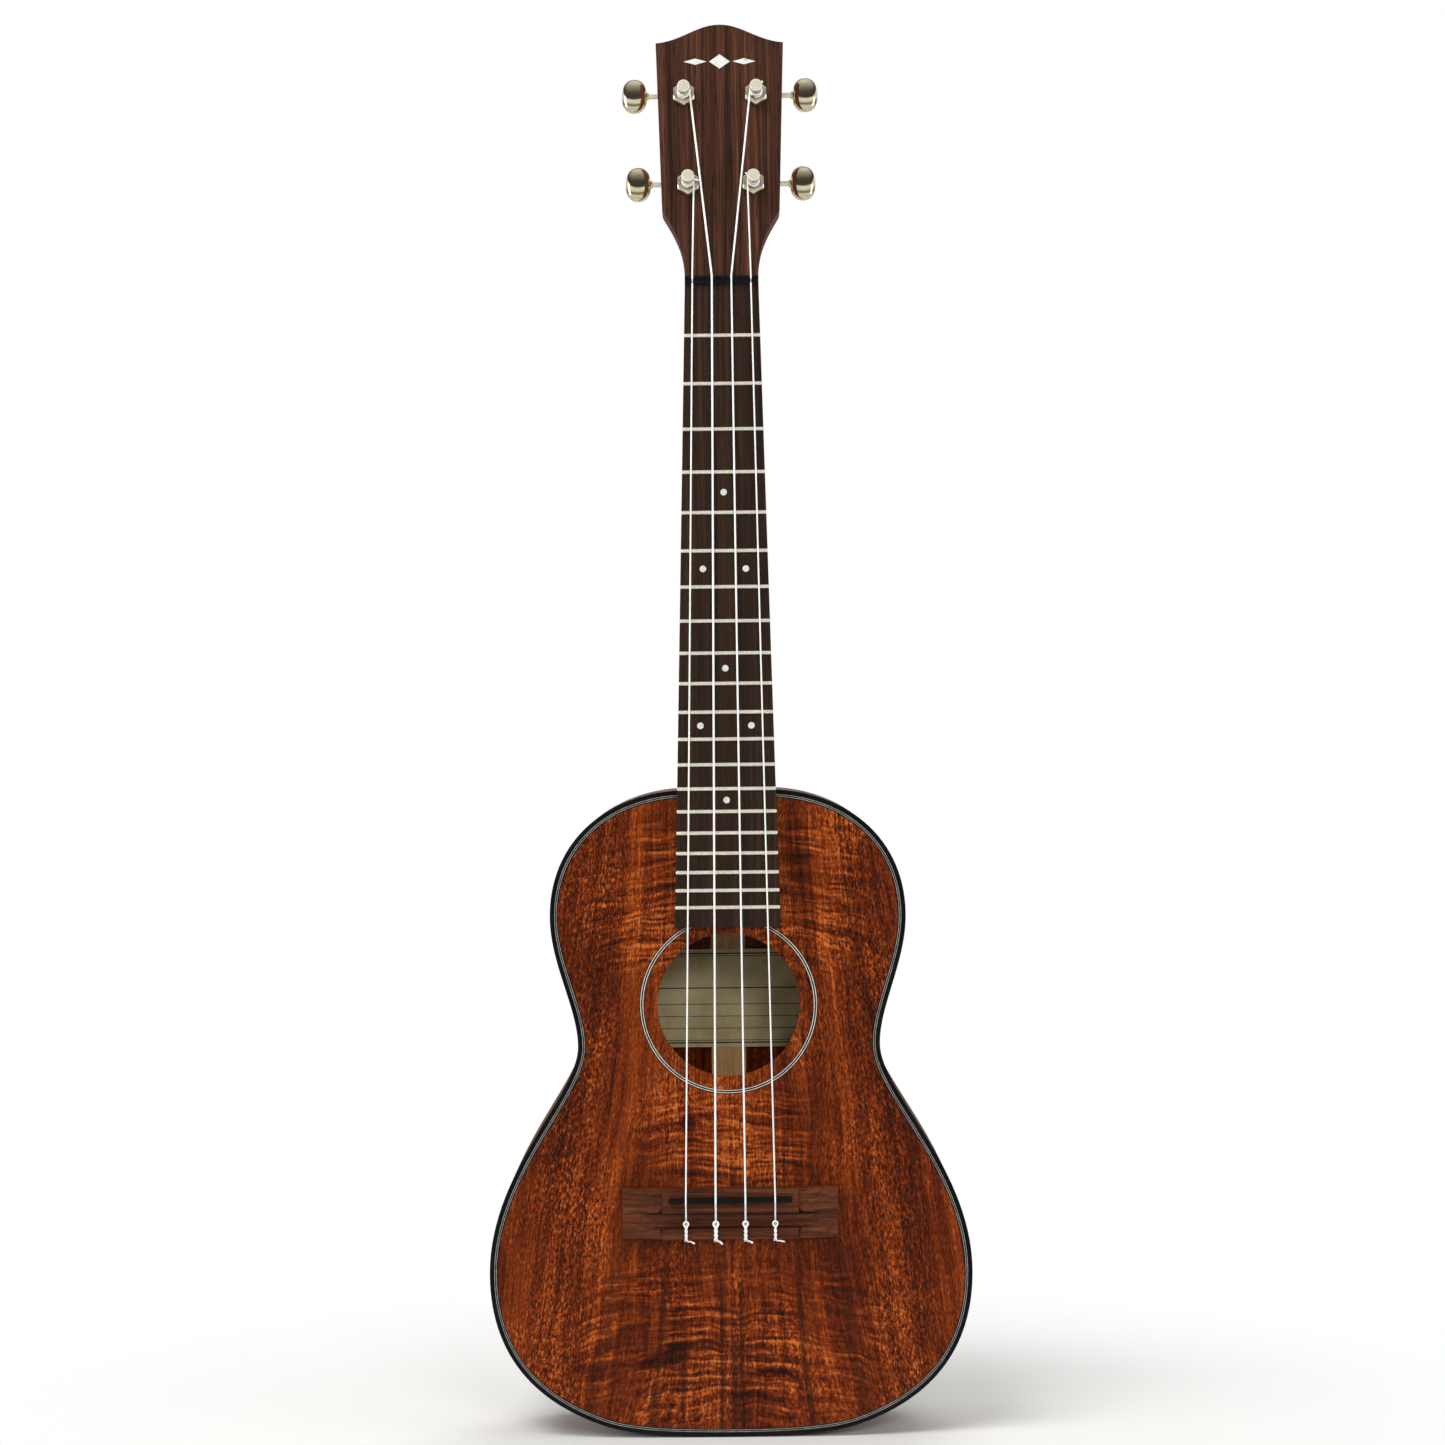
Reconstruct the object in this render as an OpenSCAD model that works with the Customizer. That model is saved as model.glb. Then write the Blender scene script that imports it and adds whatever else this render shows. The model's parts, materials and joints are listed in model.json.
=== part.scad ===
// Tenor ukulele: hollow wooden body, bolted neck, four geared tuning machines and four strings.
// X runs across the instrument, Y from front (-) to back (+), Z from the tail up to the head.

/* [Body] */
// Length of the body from the tail to the neck joint
body_len = 308; // [300:1:316]
// Half width of the lower bout
lower_bout = 115; // [110:0.5:118]
// Half width of the waist
waist = 71.9; // [68:0.1:75]
// Half width of the upper bout
upper_bout = 84.8; // [80:0.1:88]
// Depth of the body at the tail
depth_tail = 74; // [68:1:80]
// Depth of the body at the neck joint
depth_neck = 64; // [60:1:70]
// Thickness of the soundboard
top_t = 2.2; // [2:0.1:3]
// Thickness of the back plate
back_t = 2.2; // [2:0.1:3]
// Thickness of the bent sides
side_t = 2.2; // [2:0.1:2.6]
// Radius of the soundhole
hole_r = 34; // [30:0.5:36]

/* [Trim] */
// Height of the edge binding
bind_h = 5; // [4:0.5:7]
// Width of the purfling lines beside the binding
purf_w = 1.6; // [1.2:0.1:2]
// Depth of the inlaid purfling and rosette
inlay_t = 1.2; // [0.8:0.1:1.6]
// Inner radius of the rosette
rosette_r = 40.2; // [38:0.1:44]
// Width of the rosette
rosette_w = 2.3; // [1.5:0.1:4]

/* [Neck and fretboard] */
// Open string length from nut to the middle of the saddle, without compensation
scale_len = 431.8; // [430:0.1:434]
// Fretboard width at the nut
nut_w = 35; // [34:0.5:38]
// Fretboard width at its end over the soundboard
board_end_w = 50.1; // [48:0.1:52]
// Fretboard length
board_len = 305.3; // [304:0.1:307]
// Fretboard thickness
board_t = 5; // [4:0.5:6]
// Number of frets
frets_n = 20; // [18:1:20]
// Angle that the head leans back
head_angle = 13; // [8:1:15]
// Thickness of the head with its veneer
head_t = 13; // [12:0.5:15]

/* [Strings] */
// Diameters of the strings G, C, E and A
string_d = [0.8, 1.0, 0.9, 0.76];
// Outer string spacing at the nut
nut_spread = 27.8; // [27:0.1:29]
// Outer string spacing at the bridge
bridge_spread = 42.3; // [41:0.1:43]

/* [Tuning machines] */
// Teeth of the worm wheel
wheel_teeth = 14; // [14:1:14]
// Width of a tuner button along its shaft
button_w = 12.2; // [10:0.1:13]
// Length of a tuner button across its shaft
button_l = 17.2; // [14:0.1:18]

/* [Hidden] */

fret_h = 1;                                   // fret crown above the fretboard
nut_t = 4;                                    // nut thickness along the strings
nut_z = body_len + scale_len * (1 - pow(2, -14 / 12)) + 0.55;   // the 14th fret is at the body
saddle_z = nut_z - scale_len - 2.4;           // with compensation
saddle_top = 10.7;                            // saddle's height over the soundboard
nut_top = board_t + fret_h + 0.35;            // string seat in the nut over the soundboard
front_reach = saddle_top + max(string_d);     // furthest point in front of the soundboard
top_y = -(depth_tail - front_reach) / 2;      // the soundboard's face, with the box centred on Y
back_tilt = atan((depth_tail - depth_neck) / body_len);
hole_z = 205.6;                               // soundhole centre
veneer_t = 2;
heel_y = depth_neck - 2;                      // heel's depth in front of its cap
string_n = 4;
steps = 15;                                   // points on each curve of the body outline

// ---- curves ----
function bez(p, t) = pow(1 - t, 3) * p[0] + 3 * t * pow(1 - t, 2) * p[1]
    + 3 * t * t * (1 - t) * p[2] + pow(t, 3) * p[3];
function bez_slope(p, t) = pow(1 - t, 2) * (p[1] - p[0]) + 2 * t * (1 - t) * (p[2] - p[1])
    + t * t * (p[3] - p[2]);

// The right half of the body outline is five curves: two round the tail, then one each to the waist,
// the upper bout and the neck.
widest_z = 78;
waist_z = 186.3;
upper_z = 247.9;
flat_x = 18.5;                                // half width of the flat under the heel
tail_p = [63.6, 6.4];
BODY_CURVES = [
    [[0, 0], [42.5, 0], tail_p - [9.8, 3.6], tail_p],
    [tail_p, tail_p + [28, 10.4], [lower_bout, widest_z - 40.6], [lower_bout, widest_z]],
    [[lower_bout, widest_z], [lower_bout, widest_z + 49], [waist, waist_z - 22.8], [waist, waist_z]],
    [[waist, waist_z], [waist, waist_z + 18.3], [upper_bout, upper_z - 22.4], [upper_bout, upper_z]],
    [[upper_bout, upper_z], [upper_bout, upper_z + 37.4], [flat_x + 37.1, body_len], [flat_x, body_len]]
];
function inward(d) = [-d.y, d.x] / norm(d);
function edge_point(p, t, inset) = bez(p, t) + inset * inward(bez_slope(p, t));
function half_outline(inset) = [for (p = BODY_CURVES, i = [0 : steps - 1])
    edge_point(p, i / steps, inset)];
function mirrored(pts) = [for (i = [len(pts) - 1 : -1 : 0])
    if (pts[i].x > 0.001) [-pts[i].x, pts[i].y]];
function closed_half(inset) = concat(half_outline(inset), [[flat_x, body_len - inset]]);
function outline(inset) = concat(closed_half(inset), mirrored(closed_half(inset)));

// A lining's half outline with saw kerfs: the inner edge jumps out at every kerf.
kerf_depth = 4.4;
function kerfed_half(inset) = [for (p = BODY_CURVES, i = [0 : steps - 1], k = [0, 0.72, 0.74, 0.98])
    edge_point(p, (i + k) / steps, (k == 0.74 || k == 0.98) ? inset - kerf_depth : inset)];
function kerfed(inset) = let (h = concat(kerfed_half(inset), [[flat_x, body_len - inset]]))
    concat(h, mirrored(h));

// A tube swept along a path of points, with a ring of sides at each point.
function unit(v) = v / norm(v);
function tangent(p, i) = i == 0 ? unit(p[1] - p[0]) : i == len(p) - 1 ? unit(p[i] - p[i - 1])
    : unit(unit(p[i + 1] - p[i]) + unit(p[i] - p[i - 1]));
function square_off(v, t) = unit(v - (v * t) * t);
function normals(p, i, v) = i == len(p) ? [] : let (n = square_off(v, tangent(p, i)))
    concat([n], normals(p, i + 1, n));
function ring(c, t, n, r, k) = [for (j = [0 : k - 1]) let (a = 360 * j / k)
    c + r * (cos(a) * n + sin(a) * cross(t, n))];
// Points of a path whose inner corners are rounded off within a reach of k.
function toward(b, a, k) = min(k, norm(a - b) * 0.45) * unit(a - b);
function corner(a, b, c, k) = [for (t = [0 : 0.25 : 1])
    b + pow(1 - t, 2) * toward(b, a, k) + t * t * toward(b, c, k)];
function rounded(p, k) = concat([p[0]],
    [for (i = [1 : len(p) - 2]) each corner(p[i - 1], p[i], p[i + 1], k)],
    [p[len(p) - 1]]);
tube_sides = 8;
module tube(p, r) {
    side = square_off([0.31, 0.87, 0.38], tangent(p, 0));
    n = normals(p, 0, side);
    k = tube_sides;
    last = (len(p) - 1) * k;
    points = [for (i = [0 : len(p) - 1]) each ring(p[i], tangent(p, i), n[i], r, k)];
    start_cap = [for (j = [0 : k - 1]) j];
    end_cap = [for (j = [k - 1 : -1 : 0]) last + j];
    polyhedron(points = points, faces = concat([start_cap], skin(len(p), k), [end_cap]), convexity = 6);
}
// Triangles between closed rings of k points each.
function skin(rings, k) = [for (i = [0 : rings - 2], j = [0 : k - 1]) let (m = (j + 1) % k)
    each [[i * k + j, (i + 1) * k + m, i * k + m], [i * k + j, (i + 1) * k + j, (i + 1) * k + m]]];

function fret_z(n) = nut_z - scale_len * (1 - pow(2, -n / 12));
function board_half(z) = nut_w / 2 + (nut_z - z) / board_len * (board_end_w - nut_w) / 2;

// ---- placing ----
// Local coordinates: the soundboard's face is y = 0 and the inside of the body is +y.
module at_top() translate([0, top_y, 0]) children();

// A plate whose outline lies in X and Z, from y0 back to y1.
module plate(points, y0, y1) translate([0, y1, 0]) rotate([90, 0, 0])
    linear_extrude(y1 - y0) polygon(points);

// Everything behind a plane parallel to the sloping back, offset inward.
module beyond(inset) translate([0, depth_tail, 0]) rotate([back_tilt, 0, 0])
    translate([-150, -inset, -30]) cube([300, 60, body_len + 60]);

// A band of the body's wall between two insets from the outline.
module band(inset_0, inset_1, y0, y1) difference() {
    plate(outline(inset_0), y0, y1);
    plate(outline(inset_1), y0 - 1, y1 + 1);
}

// A disc or ring whose axis is the Y axis, from y0 back to y1.
module disc(r, y0, y1, z) translate([0, y1, z]) rotate([90, 0, 0])
    cylinder(r = r, h = y1 - y0, $fn = 120);

// The head's frame: x across, y up the face from the nut, z out of the face.
module on_head() translate([0, -veneer_t, nut_z + nut_t]) rotate([90 - head_angle, 0, 0]) children();

// ---- body ----
tenon_w = 18;
tenon_len = 14;
tenon_y0 = bind_h;                            // the tenon starts behind the binding
tenon_y1 = 50;
module tenon_space() translate([-tenon_w / 2, tenon_y0, body_len - tenon_len])
    cube([tenon_w, tenon_y1 - tenon_y0, tenon_len + 1]);

module soundboard() at_top() color([0.55, 0.25, 0.10]) difference() {
    plate(outline(side_t), 0, top_t);
    disc(hole_r, -1, top_t + 1, hole_z);
    difference() {
        disc(rosette_r + rosette_w, -1, inlay_t, hole_z);
        disc(rosette_r, -2, inlay_t + 1, hole_z);
    }
    band(side_t - 1, side_t + purf_w, -1, inlay_t);
}

module back_plate() at_top() color([0.50, 0.23, 0.09]) difference() {
    intersection() {
        plate(outline(side_t), depth_neck - 10, depth_tail + 5);
        beyond(back_t);
    }
    beyond(0);
}

wedge_w = 8;
module side_shell() difference() {
    band(0, side_t, bind_h, depth_tail);
    beyond(bind_h);
    tenon_space();
    translate([-wedge_w / 2, 0, -1]) cube([wedge_w, depth_tail + 1, side_t + 2]);
}
module bass_side() at_top() color([0.45, 0.20, 0.08]) intersection() {
    side_shell();
    translate([-150, 0, -1]) cube([150, 100, body_len + 10]);
}
module treble_side() at_top() color([0.45, 0.20, 0.08]) intersection() {
    side_shell();
    translate([0, 0, -1]) cube([150, 100, body_len + 10]);
}
module tail_wedge() at_top() color([0.05, 0.05, 0.05]) difference() {
    intersection() {
        band(0, side_t, bind_h, depth_tail);
        translate([-wedge_w / 2, 0, -1]) cube([wedge_w, depth_tail + 1, side_t + 2]);
    }
    beyond(bind_h);
}

lining_t = 5.5;
lining_h = 8;
block_half = 24;                              // half width of the two end blocks
module between_blocks() difference() {
    translate([-150, 0, 0]) cube([300, depth_tail, body_len]);
    translate([-block_half, -1, body_len / 2]) cube([2 * block_half, depth_tail + 2, body_len]);
    translate([-block_half, -1, -1]) cube([2 * block_half, depth_tail + 2, 30]);
}
module lining_ring(y0, y1) difference() {
    plate(outline(side_t), y0, y1);
    plate(kerfed(side_t + lining_t), y0 - 1, y1 + 1);
}
module top_lining() at_top() color([0.72, 0.55, 0.33]) intersection() {
    lining_ring(top_t, top_t + lining_h);
    between_blocks();
}
module back_lining() at_top() color([0.72, 0.55, 0.33]) difference() {
    intersection() {
        lining_ring(depth_neck - 22, depth_tail);
        between_blocks();
        beyond(back_t + lining_h);
    }
    beyond(back_t);
}

bolt_y = [18, 38];
neck_block_len = 22;
module neck_block() at_top() color([0.62, 0.38, 0.22]) difference() {
    translate([-block_half, top_t, body_len - side_t - neck_block_len])
        cube([2 * block_half, depth_tail - top_t, neck_block_len]);
    beyond(back_t);
    tenon_space();
    for (y = bolt_y) translate([0, y, body_len - 40]) cylinder(r = 2.6, h = 30, $fn = 40);
    plate_outside();
}
module plate_outside() difference() {
    translate([-60, -1, body_len - 20]) cube([120, depth_tail + 5, 30]);
    plate(outline(side_t), -2, depth_tail + 6);
}
module tail_block() at_top() color([0.62, 0.38, 0.22]) difference() {
    intersection() {
        translate([-block_half, top_t, 0]) cube([2 * block_half, depth_tail, 16]);
        plate(outline(side_t), 0, depth_tail + 1);
    }
    beyond(back_t);
}

// A bar across the body at height z, clipped where the linings start.
module cross_bar(z, w, y0, y1) intersection() {
    translate([-150, y0, z - w / 2]) cube([300, y1 - y0, w]);
    plate(outline(side_t + lining_t + 1), y0 - 1, y1 + 1);
}
module face_braces() at_top() color([0.80, 0.64, 0.42])
    for (z = [158, 266]) cross_bar(z, 8, top_t, top_t + 9);
patch_t = 1.8;
module fan_braces() at_top() color([0.80, 0.64, 0.42])
    for (side = [-1, 0, 1]) translate([side * 32, top_t + patch_t, 88]) rotate([0, side * 10, 0])
        translate([-3, 0, -52]) cube([6, 6, 104]);
module bridge_patch() at_top() color([0.62, 0.38, 0.22])
    translate([-50, top_t, 84]) cube([100, patch_t, 46]);

back_brace_z = [258, 159, 86];
module back_braces() at_top() color([0.80, 0.62, 0.38]) for (z = back_brace_z) difference() {
    intersection() {
        cross_bar(z, 7, depth_neck - 20, depth_tail);
        beyond(back_t + 10);
    }
    beyond(back_t);
}
strip_t = 1.6;
module back_seam_strip() at_top() color([0.84, 0.70, 0.46]) difference() {
    intersection() {
        translate([-8.5, depth_neck - 10, 16])
            cube([17, 30, body_len - side_t - neck_block_len - 16]);
        beyond(back_t + strip_t);
    }
    beyond(back_t);
    for (z = back_brace_z) translate([-20, 0, z - 3.5]) cube([40, 100, 7]);
}
label_w = 84;
label_h = 48.6;
label_z = 203.7;                              // middle of the label
module label() at_top() color([0.80, 0.74, 0.55]) intersection() {
    difference() {
        beyond(back_t + strip_t + 0.3);
        beyond(back_t + strip_t);
    }
    translate([-label_w / 2, 0, label_z - label_h / 2]) cube([label_w, 100, label_h]);
}

// ---- trim ----
module top_binding() at_top() color([0.04, 0.04, 0.04]) band(0, side_t, 0, bind_h);
module back_binding() at_top() color([0.04, 0.04, 0.04]) difference() {
    intersection() {
        band(0, side_t, depth_neck - 10, depth_tail + 5);
        beyond(bind_h);
    }
    beyond(0);
}
module top_purfling() at_top() color([0.45, 0.47, 0.45]) band(side_t, side_t + purf_w, 0, inlay_t);
module rosette() at_top() color([0.75, 0.75, 0.68]) difference() {
    disc(rosette_r + rosette_w, 0, inlay_t, hole_z);
    disc(rosette_r, -1, inlay_t + 1, hole_z);
}

// ---- neck ----
// Depth and squareness of the neck's section. The heel's front line falls off as an exponential.
shaft_nut = 13.6;
shaft_heel = 15.8;
heel_front = body_len + 14;                   // where the heel reaches its cap
heel_sweep = 31;
heel_fall = 8;
function shaft_depth(z) = shaft_nut + (shaft_heel - shaft_nut) * (nut_z - z) / (nut_z - heel_front);
function heel_z(d) = heel_front + heel_sweep * exp(-(d - shaft_heel) / heel_fall);
function heel_power(z) = 1 + 0.5 * max(0, min(1, (heel_front + 36 - z) / 36));
// Each ring is its height and its depth behind the fretboard.
cap_len = heel_front - body_len;
sweep_end = shaft_heel + 0.2;
shaft_end = nut_z + nut_t;
function heel_depth(t) = heel_y - (heel_y - sweep_end) * (1 - pow(1 - t, 1.6));
CAP_RINGS = [for (i = [0 : 5]) [body_len + cap_len * i / 5, heel_y + 18 * (1 - i / 5)]];
SWEEP_RINGS = [for (i = [1 : 12]) [heel_z(heel_depth(i / 12)), heel_depth(i / 12)]];
SHAFT_RINGS = [for (i = [1 : 10]) let (z = heel_z(sweep_end) + (shaft_end - heel_z(sweep_end)) * i / 10)
    [z, shaft_depth(z)]];
NECK_RINGS = concat(CAP_RINGS, SWEEP_RINGS, SHAFT_RINGS);
ring_steps = 14;
ring_n = 2 * ring_steps + 1;
function ring_point(r, a) = let (c = cos(a), w = board_half(min(r[0], nut_z)))
    [sign(c) * w * pow(abs(c), heel_power(r[0])), min(heel_y, r[1] * sin(a)), r[0]];
neck_points = [for (r = NECK_RINGS, i = [0 : ring_n - 1]) ring_point(r, 180 * i / (ring_n - 1))];
neck_faces = concat(
    [[for (i = [0 : ring_n - 1]) i]],
    [for (r = [0 : len(NECK_RINGS) - 2], i = [0 : ring_n - 1]) let (j = (i + 1) % ring_n)
        each [[r * ring_n + i, (r + 1) * ring_n + i, (r + 1) * ring_n + j],
              [r * ring_n + i, (r + 1) * ring_n + j, r * ring_n + j]]],
    [[for (i = [ring_n - 1 : -1 : 0]) (len(NECK_RINGS) - 1) * ring_n + i]]
);

// Head outline: a throat curve, a straight flare and an ogee crown.
head_len = 129.2;
head_top_half = 30.8;
corner_s = 119.7;
throat_s = 34;
throat_half = 28.1;
THROAT = [[nut_w / 2, 0], [nut_w / 2, 13], [20.6, 22], [throat_half, throat_s]];
CROWN = [[head_top_half, corner_s], [18, corner_s + 1.1], [11, head_len], [0, head_len]];
head_half = concat([for (i = [0 : 10]) bez(THROAT, i / 10)], [for (i = [0 : 12]) bez(CROWN, i / 12)]);
head_outline = concat([[nut_w / 2, -3]], head_half, mirrored(head_half), [[-nut_w / 2, -3]]);
face_outline = concat(head_half, mirrored(head_half));

// Post places on the head: x, distance up the face.
post_top = [17.35, 92.5];
post_low = [15.6, 46.7];
POSTS = [[-post_low.x, post_low.y], [-post_top.x, post_top.y], post_top, post_low];
module at_post(i) translate([POSTS[i].x, POSTS[i].y, 0]) mirror([POSTS[i].x < 0 ? 1 : 0, 0, 0]) children();
bush_r = 4;
module post_holes() for (i = [0 : string_n - 1]) at_post(i)
    translate([0, 0, -head_t - 1]) cylinder(r = bush_r + 0.1, h = head_t + 3, $fn = 48);

bar_w = 4;
bar_h = 7;
bar_z0 = body_len + 6;
bar_z1 = nut_z - 8;
module stiffener_slot() translate([-bar_w / 2, -1, bar_z0]) cube([bar_w, bar_h + 1, bar_z1 - bar_z0]);

module neck() at_top() color([0.36, 0.18, 0.09]) union() {
    difference() {
        polyhedron(points = neck_points, faces = neck_faces, convexity = 6);
        stiffener_slot();
        translate([-30, -20, nut_z + nut_t]) rotate([-head_angle, 0, 0]) cube([60, 20, 30]);
    }
    difference() {
        on_head() difference() {
            translate([0, 0, -head_t]) linear_extrude(head_t - veneer_t) polygon(head_outline);
            post_holes();
            screw_holes();
        }
        translate([-30, -20, nut_z - 10]) cube([60, 20, 10 + nut_t]);
    }
    difference() {
        translate([-tenon_w / 2, tenon_y0, body_len - tenon_len])
            cube([tenon_w, tenon_y1 - tenon_y0, tenon_len]);
        for (y = bolt_y) translate([0, y, body_len - tenon_len - 1])
            cylinder(r = 2.5, h = 11, $fn = 40);
    }
}
module neck_stiffener() at_top() color([0.08, 0.08, 0.09])
    translate([-bar_w / 2, 0, bar_z0]) cube([bar_w, bar_h, bar_z1 - bar_z0]);
module neck_bolts() at_top() color([0.45, 0.45, 0.47]) for (y = bolt_y)
    translate([0, y, body_len - side_t - neck_block_len]) difference() {
        union() {
            translate([0, 0, -4]) cylinder(r = 4.5, h = 4, $fn = 40);
            translate([0, 0, -1]) cylinder(r = 2.5, h = 20, $fn = 40);
        }
        translate([0, 0, -5]) cylinder(r = 2.3, h = 3.5, $fn = 6);
    }
module heel_cap() at_top() color([0.04, 0.04, 0.04]) plate(cap_outline, heel_y, depth_neck);
function cap_half(t) = board_half(body_len + cap_len * t)
    * pow(max(0, 1 - pow(heel_y / (heel_y + 18 * (1 - t)), 2)), heel_power(body_len + cap_len * t) / 2);
cap_side = [for (i = [0 : 9]) let (t = 0.986 * i / 9) [cap_half(t), body_len + cap_len * t]];
cap_outline = concat(cap_side, [[0, heel_front]], mirrored(cap_side));

module head_veneer() at_top() color([0.22, 0.11, 0.08]) difference() {
    on_head() difference() {
        translate([0, 0, -veneer_t]) linear_extrude(veneer_t) polygon(face_outline);
        post_holes();
        inlay_shapes(0.05);
    }
    translate([-30, -20, nut_z]) cube([60, 21, nut_t]);
}
// A plain lozenge between two smaller ones, set in the veneer.
inlay_s = 110;
module inlay_shapes(gap) for (p = [[0, 5, 7.5], [-11.8, 5.6, 3.2], [11.8, 5.6, 3.2]])
    translate([p[0], inlay_s, -0.8 - gap]) linear_extrude(0.8 + 2 * gap)
        polygon([[p[1], 0], [0, p[2] / 2], [-p[1], 0], [0, -p[2] / 2]]);
module head_inlay() at_top() color([0.88, 0.88, 0.84]) on_head() difference() {
    inlay_shapes(0.05);
    translate([-40, 0, 0]) cube([80, 140, 5]);
}

slot_w = 0.6;
slot_d = 2;
board_half_outline = [[board_end_w / 2, nut_z - board_len], [nut_w / 2, nut_z]];
module board_blank() plate(concat(board_half_outline, mirrored(board_half_outline)), -board_t, 0);
module fretboard() at_top() color([0.16, 0.10, 0.08]) difference() {
    board_blank();
    for (n = [1 : frets_n]) translate([-40, -board_t - 1, fret_z(n) - slot_w / 2])
        cube([80, slot_d + 1, slot_w]);
    for (d = DOTS) disc_at(d, dot_r, -board_t - 1, -board_t + 1.2);
    for (d = SIDE_DOTS) side_hole(d, 1.5);
}
// A fret is a domed crown on a tang, running across the board.
crown_w = 2.2;
crown_r = (crown_w * crown_w / 4 + fret_h * fret_h) / (2 * fret_h);
crown_arc = asin(crown_w / 2 / crown_r);
crown_profile = [for (i = [-4 : 4]) let (a = crown_arc * i / 4)
    [crown_r - fret_h - crown_r * cos(a), crown_r * sin(a)]];
tang_profile = [[0, slot_w / 2], [slot_d, slot_w / 2], [slot_d, -slot_w / 2], [0, -slot_w / 2]];
module frets() at_top() color([0.80, 0.78, 0.70]) for (n = [1 : frets_n])
    translate([0, -board_t, fret_z(n)]) rotate([90, 0, 90])
        linear_extrude(2 * board_half(fret_z(n)), center = true)
            polygon(concat(crown_profile, tang_profile));

dot_r = 1.55;
function space_mid(n) = (fret_z(n) + fret_z(n - 1)) / 2;
DOTS = [[0, space_mid(5)], [-10.2, space_mid(7)], [10.2, space_mid(7)], [0, space_mid(10)],
        [-12.1, space_mid(12)], [12.1, space_mid(12)], [0, space_mid(15)]];
module disc_at(p, r, y0, y1) translate([p.x, 0, 0]) disc(r, y0, y1, p.y);
SIDE_DOTS = [for (n = [5, 7, 10, 12]) space_mid(n)];
module side_hole(z, depth) translate([-board_half(z) - 1, -board_t / 2, z]) rotate([0, 90, 0])
    cylinder(r = 1, h = depth + 1, $fn = 32);
module inlay_dots() at_top() color([0.9, 0.9, 0.86]) {
    for (d = DOTS) disc_at(d, dot_r, -board_t, -board_t + 1.2);
    intersection() {
        for (z = SIDE_DOTS) side_hole(z, 1.5);
        board_blank();
    }
}

// ---- strings ----
function spaced_x(i, spread) = spread * (i / (string_n - 1) - 0.5);
function nut_x(i) = spaced_x(i, nut_spread);
function bridge_x(i) = spaced_x(i, bridge_spread);
function string_r(i) = string_d[i] / 2;

module nut() at_top() color([0.05, 0.05, 0.05]) difference() {
    translate([nut_w / 2, 0, nut_z]) rotate([90, 0, -90]) linear_extrude(nut_w)
        polygon([[0, 0], [0, nut_t], [nut_top, nut_t], [nut_top + 0.5, nut_t - 0.8],
                 [nut_top + 0.8, nut_t / 2], [nut_top + 0.8, 0.5], [nut_top + 0.4, 0]]);
    for (i = [0 : string_n - 1]) translate([nut_x(i), -nut_top - string_r(i), nut_z - 1])
        cylinder(r = string_r(i) + 0.06, h = nut_t + 3, $fn = 24);
}

post_waist = 2.3;
post_cap = 3.1;
post_h = 12.2;                                // height of a post over the head's face
wrap_gap = 0.08;
function wrap_r(i) = post_waist + string_r(i) + wrap_gap;
function wrap_w(i, level) = 3.45 + string_r(i) + level * (string_d[i] + 0.06);
// A point of the head's frame in the body's coordinates.
function head_point(p) = [p.x, -veneer_t + p.y * sin(head_angle) - p.z * cos(head_angle),
                          nut_z + nut_t + p.y * cos(head_angle) + p.z * sin(head_angle)];
// A point near a post, in the frame that at_post() sets, whose x points away from the middle.
function post_point(i, p) = let (c = POSTS[i]) head_point([c.x + sign(c.x) * p.x, c.y + p.y, p.z]);
function round_post(i, a, w) = [wrap_r(i) * cos(a), wrap_r(i) * sin(a), w];
// The angle at which the string leaves the inner side of its post.
function leave_angle(i) = let (d = [abs(nut_x(i)) - abs(POSTS[i].x), -1 - POSTS[i].y])
    atan2(d.y, d.x) - acos(wrap_r(i) / norm(d));
function first_turn(i) = [for (k = [18 : -1 : 1])
    post_point(i, round_post(i, leave_angle(i) - 15 * k, wrap_w(i, 0)))];
// The string breaks over the saddle, passes through the tie bar, comes back over it, crosses itself
// and ends in a tail.
function string_route(i) = let (x = bridge_x(i), r = string_r(i), n = nut_x(i), top = -tie_h - r - 0.15) [
    post_point(i, round_post(i, leave_angle(i), wrap_w(i, 0))),
    [n, -nut_top - r, nut_z + nut_t],
    [n, -nut_top - r, nut_z],
    [x, -saddle_top - r - 0.03, saddle_z + 1],
    [x, -saddle_top - r - 0.03, saddle_z - saddle_t / 2 - 0.5],
    [x, -tie_hole_h, tie_z1 + 1],
    [x, -tie_hole_h, tie_z0 - 0.9],
    [x - 1.1, -tie_hole_h - 1, tie_z0 - 1.4],
    [x - 1.1, top, tie_z0 - 0.9],
    [x - 1.1, top, tie_z1 + 0.6],
    [x, top - 0.1, tie_z1 + 2.4],
    [x + 1.1, top, tie_z1 + 0.6],
    [x + 1.3, top, tie_z0 - 0.6],
    [x + 4.2, top + 1.2, tie_z0 - 1.7]
];
module string(i) at_top() color([0.92, 0.92, 0.90])
    tube(concat(first_turn(i), rounded(string_route(i), 0.9)), string_r(i));

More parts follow.
